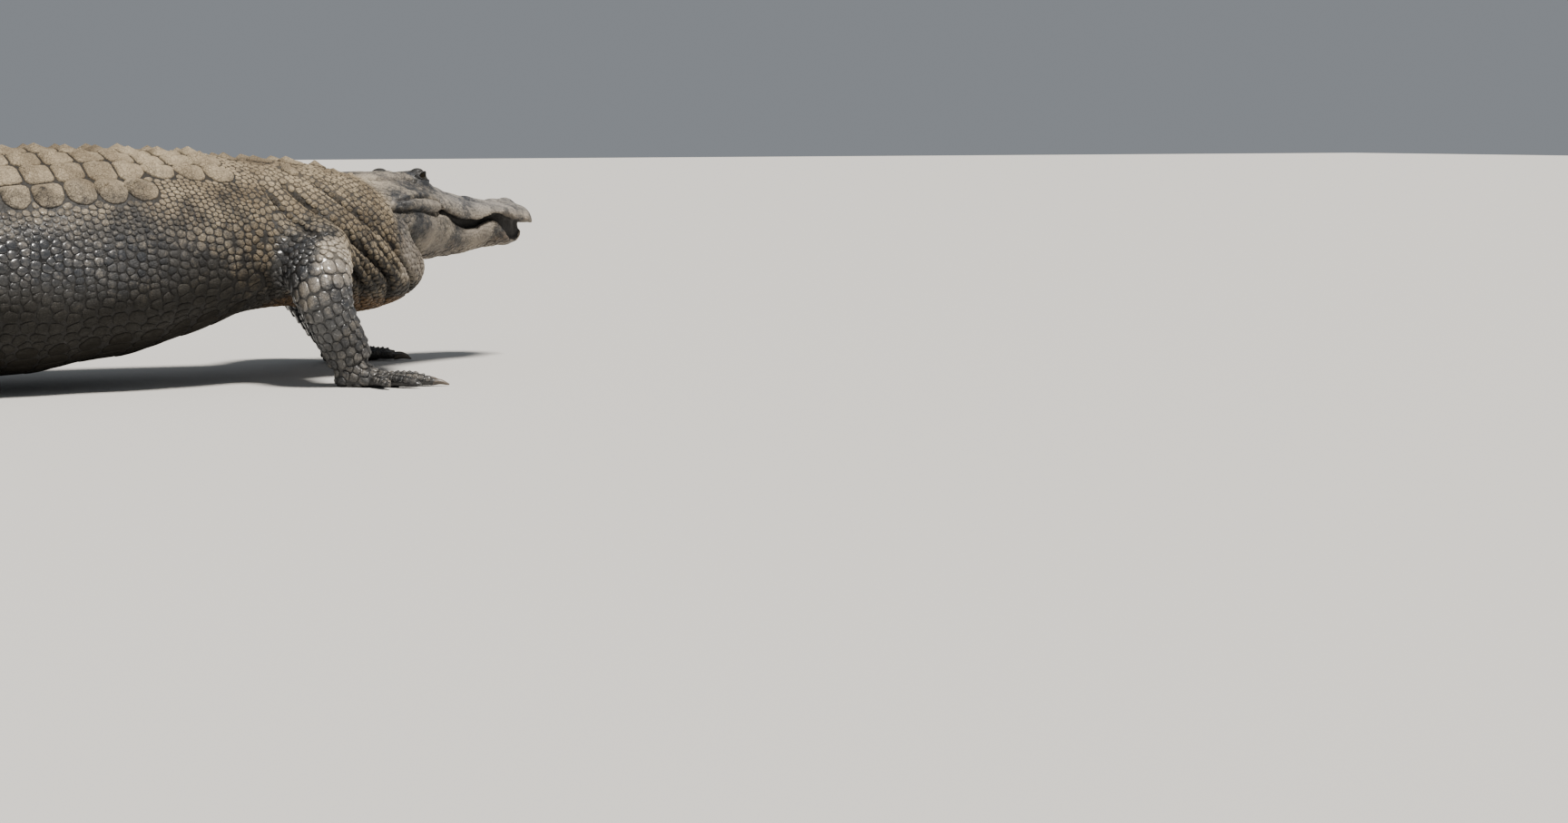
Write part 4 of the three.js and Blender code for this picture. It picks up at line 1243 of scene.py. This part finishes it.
# Under the jaw.
for i, at in enumerate(np.arange(0.20, 1.0, 0.030)):
    half = float(mandible["half"](at)) * 0.86
    lefts = np.arange(-half, half, 0.0155) + 0.0077 * (i % 2)
    spots = head_point(at, lefts, float(mandible["keel"](at)))
    chart = np.stack([np.full(len(lefts), 0.86 + 0.12 * (1 - at)), 0.5 + lefts], 1)
    down = np.tile(-head_turn[:, 2], (len(lefts), 1))
    plant("neck", spots, down, -head_turn[:, 0], 0.0145, chart, 0.02, 0.08)

scales = {key: np.concatenate([group[key] for group in seeds]) for key in seeds[0]}


def tree_of(places):
    """A tree that finds the nearest of these places."""
    tree = KDTree(len(places))
    for i, spot in enumerate(places):
        tree.insert(spot, i)
    tree.balance()
    return tree


# Two scales never share one root, and a large one lets none grow under it.
every = tree_of(scales["spot"])
gone = np.zeros(len(scales["spot"]), bool)
for i in np.argsort(-scales["size"], kind="stable"):
    size = scales["size"][i]
    if not gone[i]:
        for _, j, away in every.find_range(scales["spot"][i], 0.9 * size):
            other = scales["size"][j]
            if j != i and other <= size and away < max(0.58 * other, 0.5 * size * (other < 0.8 * size)):
                gone[j] = True
scales = {key: values[~gone] for key, values in scales.items()}


def scattered(places, sizes):
    """Picks places so that none lies within its own size of another picked one."""
    tree = tree_of(places)
    free, picked = np.ones(len(places), bool), []
    for i in chance.permutation(len(places)):
        if free[i]:
            picked.append(i)
            for _, j, _ in tree.find_range(places[i], sizes[i]):
                free[j] = False
    return np.array(picked)


def added_scales(kind, own, size, lie, chart):
    """More scales, at these points of the skin."""
    more = {"kind": kind, "spot": skin_points[own], "normal": skin_normals[own], "lie": lie, "size": size}
    more["chart"] = chart
    return {key: np.concatenate([scales[key], more[key]]) for key in scales}


# No bare patch is left between them. What fills one is small, and finer still at the limbs' roots.
FILL, FINE_FILL = 0.0145, 0.0112
fill = FINE_FILL + (FILL - FINE_FILL) * smooth(0.17, 0.24, nearest_of(limb_roots, skin_points))
at, left, up = in_head(skin_points)
along, round_share, _, side = body_place(skin_points)
face = (at < 1.0) & (up > -0.13)
some = chance.permutation(np.flatnonzero(~face & (skin_points[:, 2] > 0.006)))[:60000]
taken = tree_of(scales["spot"])
found = [taken.find(skin_points[i]) for i in some]
nearest = np.array([j for _, j, _ in found])
needed = np.where(scales["kind"][nearest] == "back", 0.68, 0.84) * scales["size"][nearest]
open_ground = np.array([away for _, _, away in found]) > np.maximum(0.84 * fill[some], needed)
some, nearest = some[open_ground], nearest[open_ground]
picked = scattered(skin_points[some], 0.8 * fill[some])
some, nearest = some[picked], nearest[picked]
kinds = scales["kind"][nearest]
on_limb = np.char.startswith(kinds.astype(str), "limb")
by_place = np.where(along[some] > shoulder, "neck", np.where(along[some] < vent, "tail", "flank"))
charts = np.where(
    on_limb[:, None],
    scales["chart"][nearest] + chance.uniform(-0.01, 0.01, (len(some), 2)),
    np.stack([along[some] / body_end, 0.5 + side[some] * round_share[some] / 2], 1),
)
scales = added_scales(np.where(on_limb, kinds, by_place), some, fill[some], scales["lie"][nearest], charts)

# The face's scales are the smallest: thin flat flakes over bone, finer toward lips, nostrils and
# lids, coarser over the crown and the corner of the jaw.
lip_line = np.minimum(np.abs(up - skull["lip"](at)), np.abs(up - mandible["rim"](at)))
crown = up > skull["cheek"](at)
flake = 0.0082 + 0.0025 * smooth(0.5, 0.8, at) + 0.0015 * crown
flake -= 0.0035 * smooth(0.016, 0.006, lip_line) * (at < 0.72)
flake -= 0.003 * smooth(0.34, 0.2, at) * (up < skull["lip"](at))
to_eye, to_nostril = nearest_of(eye_seats.values(), skin_points), nearest_of(nostrils, skin_points)
flake -= 0.004 * smooth(0.05, 0.026, to_eye) + 0.0035 * smooth(0.035, 0.015, to_nostril)
some = face & (to_eye > 0.027) & (to_nostril > 0.008) & ~in_mouth(skin_points) & (skin_hollow < 0.8)
some = chance.permutation(np.flatnonzero(some))[:70000]


def facing_hide(i):
    """Whether other hide lies close over this point of it, as behind the lips."""
    start = Vector(skin_points[i] + 0.002 * skin_normals[i])
    return hide_tree.ray_cast(start, Vector(skin_normals[i]), 0.028)[0] is not None


some = some[[not facing_hide(i) and taken.find(skin_points[i])[2] > 0.010 for i in some]]
some = some[scattered(skin_points[some], 0.84 * flake[some])]
jaw_side = up[some] < (skull["lip"](at[some]) + mandible["rim"](at[some])) / 2
turned = np.arctan2(left[some], np.where(jaw_side, -1, 1) * (up[some] - 0.02)) / math.pi
charts = np.stack([0.02 + 0.96 * np.clip(at[some], 0, 1), 0.5 + 0.45 * turned], 1)
rearward = np.tile(-head_turn[:, 0], (len(some), 1))
scales = added_scales(np.where(jaw_side, "jaw", "crown"), some, flake[some], rearward, charts)

everyone, skin_near = tree_of(scales["spot"]), tree_of(skin_points)
NEIGHBOURS = 22  # itself and the nearest ones, among which are all that touch it


def outlines(own, corners, gap):
    """The ground of each scale: corners round it where it meets its neighbours, less half a gap."""
    near = np.array([[j for _, j, _ in everyone.find_n(scales["spot"][i], NEIGHBOURS)][1:] for i in own])
    spot, normal, lie = scales["spot"][own], unit(scales["normal"][own]), scales["lie"][own]
    ahead = unit(lie - normal * (lie * normal).sum(1, keepdims=True))
    across = np.cross(normal, ahead)
    off = scales["spot"][near] - spot[:, None]
    true = np.linalg.norm(off, axis=2)
    x, y = (off * ahead[:, None]).sum(2), (off * across[:, None]).sum(2)
    flat = np.maximum(np.hypot(x, y), 1e-6)
    x, y = x * true / flat, y * true / flat
    behind = (scales["normal"][near] * normal[:, None]).sum(2) < -0.1
    own_size, near_size = scales["size"][own][:, None], scales["size"][near]
    power = (true**2 + 0.25 * (own_size**2 - near_size**2)) / 2
    turns = (np.arange(corners) + 0.5) / corners * 2 * math.pi
    facing = x[:, :, None] * np.cos(turns) + y[:, :, None] * np.sin(turns)
    met = (facing > 1e-6) & ~behind[:, :, None]
    reach_to = np.where(met, power[:, :, None] / np.maximum(facing, 1e-6), np.inf)
    back = (scales["kind"][own] == "back")[:, None]
    radius = np.minimum(reach_to.min(1), np.where(back, 0.66, 0.80) * own_size)
    mean = (np.roll(radius, 1, 1) + np.roll(radius, -1, 1)) / 2
    radius = np.minimum(radius, 0.5 * radius + 0.5 * mean)
    narrow = np.where(back, 0.6, 0.0)  # less gap along the row than across it
    radius = radius - gap / 2 * (1 - narrow * np.abs(np.sin(turns)))
    kept = radius.min(1) > 0.0012
    ways = ahead[:, None] * np.cos(turns)[:, None] + across[:, None] * np.sin(turns)[:, None]
    rim = spot[:, None] + radius[:, :, None] * ways
    local = np.stack([radius * np.cos(turns), radius * np.sin(turns)], 2)
    return own[kept], rim[kept], local[kept], normal[kept]


# The keels of the back rise from its middle to its edges.
ridge_at = through([0.02, 0.06, 0.11, 0.15], [0.45, 0.65, 0.85, 0.95])


def scale_ground(name, own, corners, gap):
    """A mesh with one face for each scale, laid on the hide, with what the scale tree reads."""
    own, rim, local, normal = outlines(own, corners, gap)
    laid = []
    for corner in rim.reshape(-1, 3):
        spot = hide_tree.find_nearest(Vector(corner), 0.02)[0]
        laid.append(spot if spot is not None else corner)
    laid = np.array(laid).reshape(rim.shape)
    count = len(own)
    mesh = bpy.data.meshes.new(name)
    faces = np.arange(count * corners).reshape(count, corners)
    mesh.from_pydata(laid.reshape(-1, 3).tolist(), [], faces.tolist())
    size = np.linalg.norm(local, axis=2).mean(1)
    write(mesh, "lie", "FACE", scales["lie"][own], "FLOAT_VECTOR")
    write(mesh, "tone", "FACE", chance.uniform(0, 1, count))
    bulge = ((scales["spot"][own] - laid.mean(1)) * normal).sum(1)
    write(mesh, "bulge", "FACE", np.clip(bulge, 0, 0.004))
    write(mesh, "ridge", "FACE", ridge_at(np.abs(scales["chart"][own, 1] - 0.5)))
    # A scale in a fold carries the fold's depth, which darkens it as painted shade.
    hollow = [skin_hollow[skin_near.find(spot)[1]] for spot in scales["spot"][own]]
    write(mesh, "crease", "FACE", np.clip(hollow, 0, 1))
    root = np.concatenate([scales["chart"][own], np.zeros((count, 1))], 1)
    write(mesh, "root", "FACE", root, "FLOAT_VECTOR")
    write(mesh, "rear", "POINT", (local[:, :, 0] / size[:, None]).ravel())
    write(mesh, "flank_wise", "POINT", (local[:, :, 1] / size[:, None]).ravel())
    return placed(name, mesh)


# Scales and scutes
# Each is a plate of horn over its own patch of hide, rooted in it all round, that rises over a
# soft edge. A scute of the back has bone in it, and a keel along it.
def shape_tree(name, inputs, output):
    """An empty node tree that makes a shape, with its sockets by name and kind."""
    tree = bpy.data.node_groups.new(name, "GeometryNodeTree")
    for label, kind in inputs.items():
        tree.interface.new_socket(label, in_out="INPUT", socket_type="NodeSocket" + kind)
    tree.interface.new_socket(output, in_out="OUTPUT", socket_type="NodeSocketGeometry")
    return Nodes(tree), tree.nodes.new("NodeGroupInput").outputs, tree.nodes.new("NodeGroupOutput").inputs


SIZES = ("Root", "Rise", "Shoulder", "Crown", "Keel", "Keel width", "Lift")


def scale_tree():
    """Raises every face of a mesh as one scale: three steps in from the rim, then a keel."""
    inputs = {"Ground": "Geometry", **{label: "Float" for label in SIZES}, "Finish": "Material"}
    n, given, result = shape_tree("scale_plates", inputs, "Scales")

    def named(name, kind="FLOAT"):
        return n.add("GeometryNodeInputNamedAttribute", [("data_type", kind)], Name=name).outputs[0]

    def moved(mesh, chosen, way, far):
        """The chosen points, or all of them, moved that far."""
        offset = n.add("ShaderNodeVectorMath", [("operation", "SCALE")], _0=way, Scale=far).outputs[0]
        return n.add("GeometryNodeSetPosition", Geometry=mesh, Selection=chosen, Offset=offset).outputs[0]

    def noted(mesh, chosen, height):
        """Writes how high the chosen faces stand, 0 at the root and 1 on the crown."""
        settings = [("data_type", "FLOAT"), ("domain", "POINT")]
        return n.add("GeometryNodeStoreNamedAttribute", settings, Geometry=mesh, Selection=chosen,
                     Name="height", Value=height).outputs[0]

    def step(mesh, chosen, rise, narrower, height):
        """Raises the chosen faces by rise and draws them in to that share of their size."""
        risen = n.add("GeometryNodeExtrudeMesh", [("mode", "FACES")], Mesh=mesh, Selection=chosen,
                      Individual=True, Offset_Scale=rise).outputs
        top = risen["Top"]
        drawn = n.add("GeometryNodeScaleElements", [("domain", "FACE")], Geometry=risen["Mesh"],
                      Selection=top, Scale=narrower).outputs[0]
        return noted(drawn, top, height), top

    normal, bulge = n.add("GeometryNodeInputNormal").outputs[0], named("bulge")
    root, rise, shoulder = given["Root"], given["Rise"], given["Shoulder"]
    # The height written here also darkens each scale's lower wall, partly as dirt and partly as painted shade.
    mesh = noted(moved(given["Ground"], None, normal, n.times(root, -1.0)), None, 0.0)
    first = n.plus(root, n.times(rise, 0.55))
    mesh, top = step(mesh, None, first, n.minus(1.0, n.times(shoulder, 0.4)), 0.6)
    second = n.plus(n.times(rise, 0.33), n.times(bulge, 0.25))
    mesh, top = step(mesh, top, second, n.minus(1.0, shoulder), 0.9)
    third = n.plus(n.times(rise, 0.12), n.times(bulge, 0.55))
    mesh, top = step(mesh, top, third, given["Crown"], 1.0)

    # The keel: the crown is pinched to a ridge along the scale and raised.
    settings = [("operation", "CROSS_PRODUCT")]
    across = n.add("ShaderNodeVectorMath", settings, _0=normal, _1=named("lie", "FLOAT_VECTOR")).outputs[0]
    settings = [("domain", "FACE"), ("scale_mode", "SINGLE_AXIS")]
    pinch = n.add("GeometryNodeScaleElements", settings, Geometry=mesh, Selection=top,
                  Scale=given["Keel width"], Axis=across).outputs[0]
    rearward = n.times(named("ridge"), n.plus(0.62, n.times(named("rear"), 0.75)))
    mesh = moved(pinch, top, normal, n.times(given["Keel"], rearward))

    # Scales lie like tiles: the rear edge stands a little prouder than the front one.
    tilt = n.times(n.plus(0.4, n.times(named("rear"), 0.6)), named("height"))
    mesh = moved(mesh, None, normal, n.times(tilt, given["Lift"]))
    shaded = n.add("GeometryNodeSetShadeSmooth", Geometry=mesh)
    painted = n.add("GeometryNodeSetMaterial", Geometry=shaded.outputs[0], Material=given["Finish"])
    n.tree.links.new(painted.outputs[0], result["Scales"])
    return n.tree


plates = scale_tree()


def given_tree(made, tree, **values):
    """Gives an object a node tree with these inputs and keeps what it makes."""
    modifier = made.modifiers.new(tree.name, "NODES")
    modifier.node_group = tree
    for item in tree.interface.items_tree:
        if item.name.replace(" ", "_") in values:
            modifier[item.identifier] = values[item.name.replace(" ", "_")]
    return finished(made).data


def bake_map(mesh, places):
    """Lays each face corner at its place on the map that the finish is baked to."""
    mesh.uv_layers.new(name="OFBake").data.foreach_set("uv", places.astype(np.float32).ravel())


PATCH = 0.0013  # room that one scale has on the bake map
FLOOR_TOUCH = 0.0005


def coat(name, own, corners, gap, finish, slot, Keel=0.0, Keel_width=0.2, **sizes):
    """Grows one piece of the coat, marks it and fixes it to the model."""
    piece = scale_ground(name, own, corners, gap)
    mesh = given_tree(piece, plates, Finish=finish, Keel=Keel, Keel_width=Keel_width, **sizes)
    points = coordinates_of(mesh)
    points[:, 2] = np.maximum(points[:, 2], FLOOR_TOUCH)  # flattened where it stands on the floor
    move_to(mesh, points)
    corner = read(mesh.loops, "vertex_index", 1, np.int32)
    rear, flank_wise, height = (
        read(mesh.attributes[label].data, "value")[corner] for label in ("rear", "flank_wise", "height")
    )
    around = np.stack([rear, flank_wise], 1) * (1 - 0.6 * height)[:, None]
    loops = read(mesh.polygons, "loop_total", 1, np.int32)
    centre = np.repeat(read(mesh.attributes["root"].data, "vector", 3)[:, :2], loops, axis=0)
    low, high = centre.min(0), centre.max(0)
    bake_map(mesh, 0.01 + 0.98 * (centre - low) / np.maximum(high - low, 1e-6) + PATCH * around)
    marked(piece)
    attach(piece, "root")


def of_kind(kind, where=True):
    """Which scales are of that kind, and where that holds."""
    return np.flatnonzero((scales["kind"] == kind) & where)


right = scales["spot"][:, 1] < MIDDLE[1]
by_side = ("right", right), ("left", ~right)


# The scutes of the back
# Plates of bone in horn, in cross rows 55 mm apart, each with a keel that is highest at its rear.
# Dried mud lies on them, and the gaps between them are darkened, partly as dirt and partly as painted shade.
back_horn = hide_finish("back_horn", pits=0.5, cracks=0.35, relief=0.0026, gloss=0.25)
coat("back_scutes", of_kind("back"), 26, 0.0034, back_horn, "trunk_hide",
     Root=0.004, Rise=0.0034, Shoulder=0.06, Crown=0.46, Keel=0.0145, Keel_width=0.16, Lift=0.0008)
coat("nape_scutes", of_kind("nape"), 20, 0.0024, back_horn, "throat_hide",
     Root=0.004, Rise=0.0040, Shoulder=0.14, Crown=0.62, Keel=0.0085, Keel_width=0.50, Lift=0.0010)
coat("nape_bosses", of_kind("boss"), 16, 0.0018, back_horn, "throat_hide",
     Root=0.003, Rise=0.0030, Shoulder=0.20, Crown=0.60, Keel=0.0035, Keel_width=0.50, Lift=0.0008)

# The scales of flank and belly
# Tough flat horn without bone. Those of the flank are small ovals in staggered columns, those of
# the belly long plates in straight rows.
flank_horn = hide_finish("flank_horn", pits=0.15, cracks=0.6, relief=0.0013, gloss=0.25)
for side, where in by_side:
    coat("flank_scales_" + side, of_kind("flank", where), 10, 0.0010, flank_horn, "trunk_hide",
         Root=0.003, Rise=0.0014, Shoulder=0.09, Crown=0.62, Lift=0.0007)
belly_horn = hide_finish("belly_horn", pits=0.05, cracks=0.25, relief=0.0008, gloss=0.12)
coat("belly_scales", of_kind("belly"), 16, 0.0020, belly_horn, "trunk_hide",
     Root=0.003, Rise=0.0016, Shoulder=0.07, Crown=0.6, Lift=0.0006)

# The scales of neck and throat
# Small and irregular, packed along the folds, so that the neck can turn. They are larger and
# tan on the sagging throat.
neck_horn = hide_finish("neck_horn", pits=0.2, cracks=0.6, relief=0.0013, gloss=0.25, dirt=0.8)
for side, where in by_side:
    coat("neck_scales_" + side, of_kind("neck", where), 10, 0.0007, neck_horn, "throat_hide",
         Root=0.0025, Rise=0.0013, Shoulder=0.12, Crown=0.62, Lift=0.0004)

# The scales of the face
# Flakes of thin horn, hardly raised, that crack apart over the bones of skull and jaw. They are
# the smallest of all round lips, nostrils and lids.
face_horn = hide_finish("face_horn", pits=0.6, cracks=0.5, relief=0.0012, gloss=0.25, dirt=0.3)
for name, kind in (("skull_scales", "crown"), ("jaw_scales", "jaw")):
    coat(name, of_kind(kind), 8, 0.0007, face_horn, "head_hide",
         Root=0.0014, Rise=0.0004, Shoulder=0.10, Crown=0.70, Lift=0.0)

# The scales of the tail
# Rectangles in rings, two rings to each scute of the crest, dark and hardly raised.
tail_horn = hide_finish("tail_horn", pits=0.15, cracks=0.4, relief=0.0011, gloss=0.45)
coat("tail_scales", of_kind("tail"), 14, 0.0012, tail_horn, "tail_hide",
     Root=0.003, Rise=0.0018, Shoulder=0.08, Crown=0.62, Lift=0.0008)

# The scales of the limbs
# They overlap downwards like tiles, large and wet on the upper limb, finer toward wrist and toes.
limb_horn = hide_finish("limb_horn", pits=0.1, cracks=0.6, relief=0.0011, gloss=0.5)
for name in limbs:
    coat(name + "_scales", of_kind("limb_" + name), 13, 0.0011, limb_horn, "limb_hide",
         Root=0.003, Rise=0.0020, Shoulder=0.11, Crown=0.62, Lift=0.0018)

# The crest of the tail
# Upright scutes of stiff horn, in two rows that draw together and go on as one to the tip. Each
# rises toward its rear.
BLADE_LEVELS = [(-0.30, 1.0), (0.05, 0.95), (0.35, 0.62), (0.65, 0.42), (0.88, 0.28), (1.0, 0.12)]
blade_turns = full_turn(12)
blade_rings = []
for level, thick in BLADE_LEVELS:  # from the root to the tip of one scute
    front, rear = -0.5 + 0.76 * max(level, 0) ** 1.35, 0.52 - 0.12 * max(level, 0)
    middle, half = (front + rear) / 2, max((rear - front) / 2, 0.02)
    x, y = middle + half * np.cos(blade_turns), 0.5 * thick * np.sin(blade_turns)
    blade_rings.append(np.stack([x, y, np.full(12, level)], 1))
blade = mesh_of("blade", [loft(blade_rings)])
blade_points = coordinates_of(blade.data)

crest_spots, crest_turns, crest_sizes, crest_root = [], [], [], []
crest_front, length = vent, ROW
while crest_front - length > 0.03:
    middle = crest_front - length / 2
    half = float(body["half"](middle))
    if middle > crest_join:
        t = (middle - crest_join) / (vent - crest_join)
        tall, apart = (38 - 26 * t) * MM, (9 * (1 - t)) * MM + 0.42 * half * t
        rows = (-1, 1)
    else:
        t = middle / crest_join
        tall, apart, rows = (18 + 30 * t) * MM, 0.0, (0,)
    for row in rows:
        turn = math.acos(np.clip(-row * apart / half, -1, 1))
        seat = body_point(middle, turn, 1.0)
        back = unit(body_point(middle - 0.004, turn, 1.0) - body_point(middle + 0.004, turn, 1.0))
        upright = unit(np.array([0, 0, 1.0]) - back * back[2])
        axes = Matrix(np.stack([back, np.cross(upright, back), upright], 1).tolist())
        crest_spots.append(seat)
        crest_turns.append(tuple(axes.to_euler()))
        crest_sizes.append([1.04 * length, 1.5 * np.clip(0.14 * half, 0.004, 0.009), tall])
        crest_root.append([middle / body_end, 0.5 + 0.03 * row])
    crest_front -= length
    length *= TAPER
crest = placed("tail_crest", bpy.data.meshes.new("tail_crest"))
crest.data.from_pydata(np.array(crest_spots).tolist(), [], [])
write(crest.data, "turn", "POINT", crest_turns, "FLOAT_VECTOR")
write(crest.data, "stature", "POINT", crest_sizes, "FLOAT_VECTOR")


def crest_tree():
    """Sets one blade on each point, turned and sized as its attributes say."""
    inputs = {"Seats": "Geometry", "Blade": "Object", "Finish": "Material"}
    n, given, result = shape_tree("crest_blades", inputs, "Crest")
    turn, stature = (
        n.add("GeometryNodeInputNamedAttribute", [("data_type", "FLOAT_VECTOR")], Name=name).outputs[0]
        for name in ("turn", "stature")
    )
    shape = n.add("GeometryNodeObjectInfo", Object=given["Blade"]).outputs["Geometry"]
    seated = n.add("GeometryNodeInstanceOnPoints", Points=given["Seats"], Instance=shape,
                   Rotation=turn, Scale=stature)
    whole = n.add("GeometryNodeRealizeInstances", Geometry=seated.outputs[0])
    painted = n.add("GeometryNodeSetMaterial", Geometry=whole.outputs[0], Material=given["Finish"])
    n.tree.links.new(painted.outputs[0], result["Crest"])
    return n.tree


crest_horn = hide_finish("crest_horn", pits=0.2, cracks=0.5, relief=0.0012, gloss=0.4)
given_tree(crest, crest_tree(), Blade=blade, Finish=crest_horn)
bpy.data.objects.remove(blade)
count = len(crest_spots)
# Low height darkens each blade toward its root, partly as dirt and partly as painted shade.
write(crest.data, "height", "POINT", np.tile(0.45 + 0.6 * np.clip(blade_points[:, 2], 0, 1), count))
write(crest.data, "tone", "POINT", np.repeat(chance.uniform(0, 1, count), len(blade_points)))
write(crest.data, "crease", "POINT", np.zeros(count * len(blade_points)))
crest.data.shade_smooth()
around = np.tile(blade_points[:, [0, 2]] + np.sign(blade_points[:, [1, 1]]) * [0.0, 1.2], (count, 1))
patches = np.repeat(np.array(crest_root), len(blade_points), axis=0) * 0.98 + 0.01 + 0.0012 * around
bake_map(crest.data, patches[read(crest.data.loops, "vertex_index", 1, np.int32)])
marked(crest)
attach(crest, "root")

# The eyes
# Each is a ball with a bulging clear front, wet, its iris dark olive round an upright slit, drawn near
# black as painted shade of the brow. The lids of the hide close over its rim.
EYE_RINGS, EYE_AROUND = 44, 56
SHADED_IRIS_DARK, SHADED_IRIS_OLIVE, IRIS_RIM = (0.003, 0.0025, 0.0015), (0.016, 0.012, 0.0055), (0.012, 0.010, 0.008)
PUPIL = (0.002, 0.002, 0.002)
wet_eye, n = blank_finish("wet_eye")
ray_mark, slit, rim = n.mark("rays"), n.mark("slit"), n.mark("rim")
flecks = n.noise(n.add("ShaderNodeCombineXYZ", X=n.times(ray_mark, 9.0), Y=slit).outputs[0], 4.0)
iris = n.mixed(n.between(flecks, 0.35, 0.7), SHADED_IRIS_DARK, SHADED_IRIS_OLIVE)
iris = n.mixed(n.between(rim, 0.86, 1.0), iris, IRIS_RIM)
iris = n.mixed(n.between(slit, 1.12, 0.92), iris, PUPIL)
n.surface(Base_Color=iris, Roughness=0.45, Specular_IOR_Level=0.0, Coat_Weight=0.5, Coat_Roughness=0.03)
for name, seat in eye_seats.items():
    gaze, level, upward = gazes[name]
    tilts, turns = np.linspace(0.01, math.pi - 0.01, EYE_RINGS), full_turn(EYE_AROUND)[:, None]
    radius = eye["radius"] + 0.0014 * bump(tilts, 0.55)  # the clear front bulges
    sideways = np.cos(turns) * level + np.sin(turns) * upward
    rings = [seat + r * (math.cos(t) * gaze + math.sin(t) * sideways) for r, t in zip(radius, tilts)]
    piece = mesh_of(name.replace("eye_", "eyeball_"), [loft(rings)])
    ray = unit(coordinates_of(piece.data) - seat)
    across, above, ahead = ray @ level, ray @ upward, ray @ gaze
    away = np.where(ahead > 0, np.hypot(across, above), 1.0)
    write(piece.data, "rim", "POINT", away / 0.72)
    write(piece.data, "rays", "POINT", np.arctan2(above, across))
    write(piece.data, "slit", "POINT", np.where(ahead > 0, np.hypot(across / 0.085, above / 0.42), 9))
    piece.data.shade_smooth()
    piece.data.materials.append(wet_eye)
    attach(piece, "root")
    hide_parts(name)

# The claws
# The three inner toes of each foot end in a cone of dark horn, a little hooked and worn blunt,
# streaked along its length.
CLAW_DARK, CLAW_PALE, CLAW_DUST = (0.020, 0.016, 0.013), (0.115, 0.088, 0.062), (0.20, 0.165, 0.12)
claw_horn, n = blank_finish("claw_horn")
reach, turn = n.mark("reach"), n.mark("turn")
streaks = n.noise(n.add("ShaderNodeCombineXYZ", X=n.times(turn, 5.0), Y=reach).outputs[0], 3.0, 5.0)
dust = n.noise(n.place(), 300.0)
shade = n.mixed(n.between(n.plus(streaks, n.times(reach, 0.4)), 0.4, 1.1), CLAW_DARK, CLAW_PALE)
shade = n.mixed(n.between(n.minus(dust, n.times(reach, 0.3)), 0.42, 0.75), shade, CLAW_DUST)
height = n.plus(n.times(streaks, 0.7), n.times(dust, 0.4))
n.surface(
    Base_Color=shade, Roughness=n.between(dust, 0.2, 0.8, 0.34, 0.6), Normal=n.bumps(height, 0.8, 0.0006),
    Coat_Weight=0.15, Coat_Roughness=0.2,
)
CLAW_RINGS, CLAW_AROUND = 22, 20
for name in limbs:
    solids, reaches, turned = [], [], []
    for i in range(3):
        _, along_toe, length, thick = toe(name, i)
        hook = (-0.004, thick * 0.60), (0.013, thick * 0.66), (0.0295, 0.0030)  # past the toe's end, and up
        joints = [along_toe(length + past, up) for past, up in hook]
        bend = Tube(joints, [0, 0.3, 1, 1.7, 2], np.array([0.50, 0.50, 0.40, 0.22, 0.10]) * thick)
        places, turns = np.linspace(0, 2, CLAW_RINGS), full_turn(CLAW_AROUND)
        solids.append(loft(bend.rings(places, turns)))
        reaches += [*np.repeat(places / 2, CLAW_AROUND), 0, 1]  # the last two are the ends' middles
        turned += [*np.tile(np.sin(turns), CLAW_RINGS), 0, 0]
    claws = mesh_of(name + "_claws", solids)
    write(claws.data, "reach", "POINT", reaches)
    write(claws.data, "turn", "POINT", turned)
    claws.data.shade_smooth()
    claws.data.materials.append(claw_horn)
    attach(claws, "root")
    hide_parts(*(f"{name}_claw_{i}" for i in (1, 2, 3)))

# The stage
# A pale floor, one soft light from high up on the near side, a weak one from the left, pale light
# all round, and the camera low beside the animal.
floor_mesh = bpy.data.meshes.new("floor")
floor_mesh.from_pydata([(-30, -30, 0), (30, -30, 0), (30, 30, 0), (-30, 30, 0)], [], [(0, 1, 2, 3)])
floor = placed("floor", floor_mesh)
pale_floor, n = blank_finish("pale_floor")
n.surface(Base_Color=(0.50, 0.49, 0.47, 1), Roughness=0.85)
floor_mesh.materials.append(pale_floor)

world = bpy.data.worlds.new("pale_room")
bpy.context.scene.world = world
world.use_nodes = True
sky = world.node_tree.nodes["Background"].inputs
sky["Color"].default_value, sky["Strength"].default_value = (0.86, 0.92, 1.0, 1), 0.27


def soft_light(name, kind, place, aim, size, power, colour):
    """A lamp at a place, pointed at another. A sun's size is an angle."""
    lamp = bpy.data.lights.new(name, kind)
    setattr(lamp, "angle" if kind == "SUN" else "size", size)
    lamp.energy, lamp.color = power, colour
    made = placed(name, lamp)
    made.location = place
    made.rotation_euler = (Vector(aim) - Vector(place)).to_track_quat("-Z", "Y").to_euler()


soft_light("high_light", "SUN", (0.9, -2.3, 4.6), (0.5, 0, 0.2), math.radians(13), 8.2, (1.0, 0.95, 0.88))
soft_light("fill_light", "AREA", (-3.5, -4.0, 2.2), (0.3, 0, 0.2), 3.0, 35, (0.9, 0.95, 1.0))

camera = placed("camera", bpy.data.cameras.new("camera"))
camera.location = (-0.920, -5.133, 0.46)
camera.rotation_euler = (math.radians(84.49), 0, math.radians(-30.63))
camera.data.lens, camera.data.sensor_width = 68.75, 36
bpy.context.scene.camera = camera
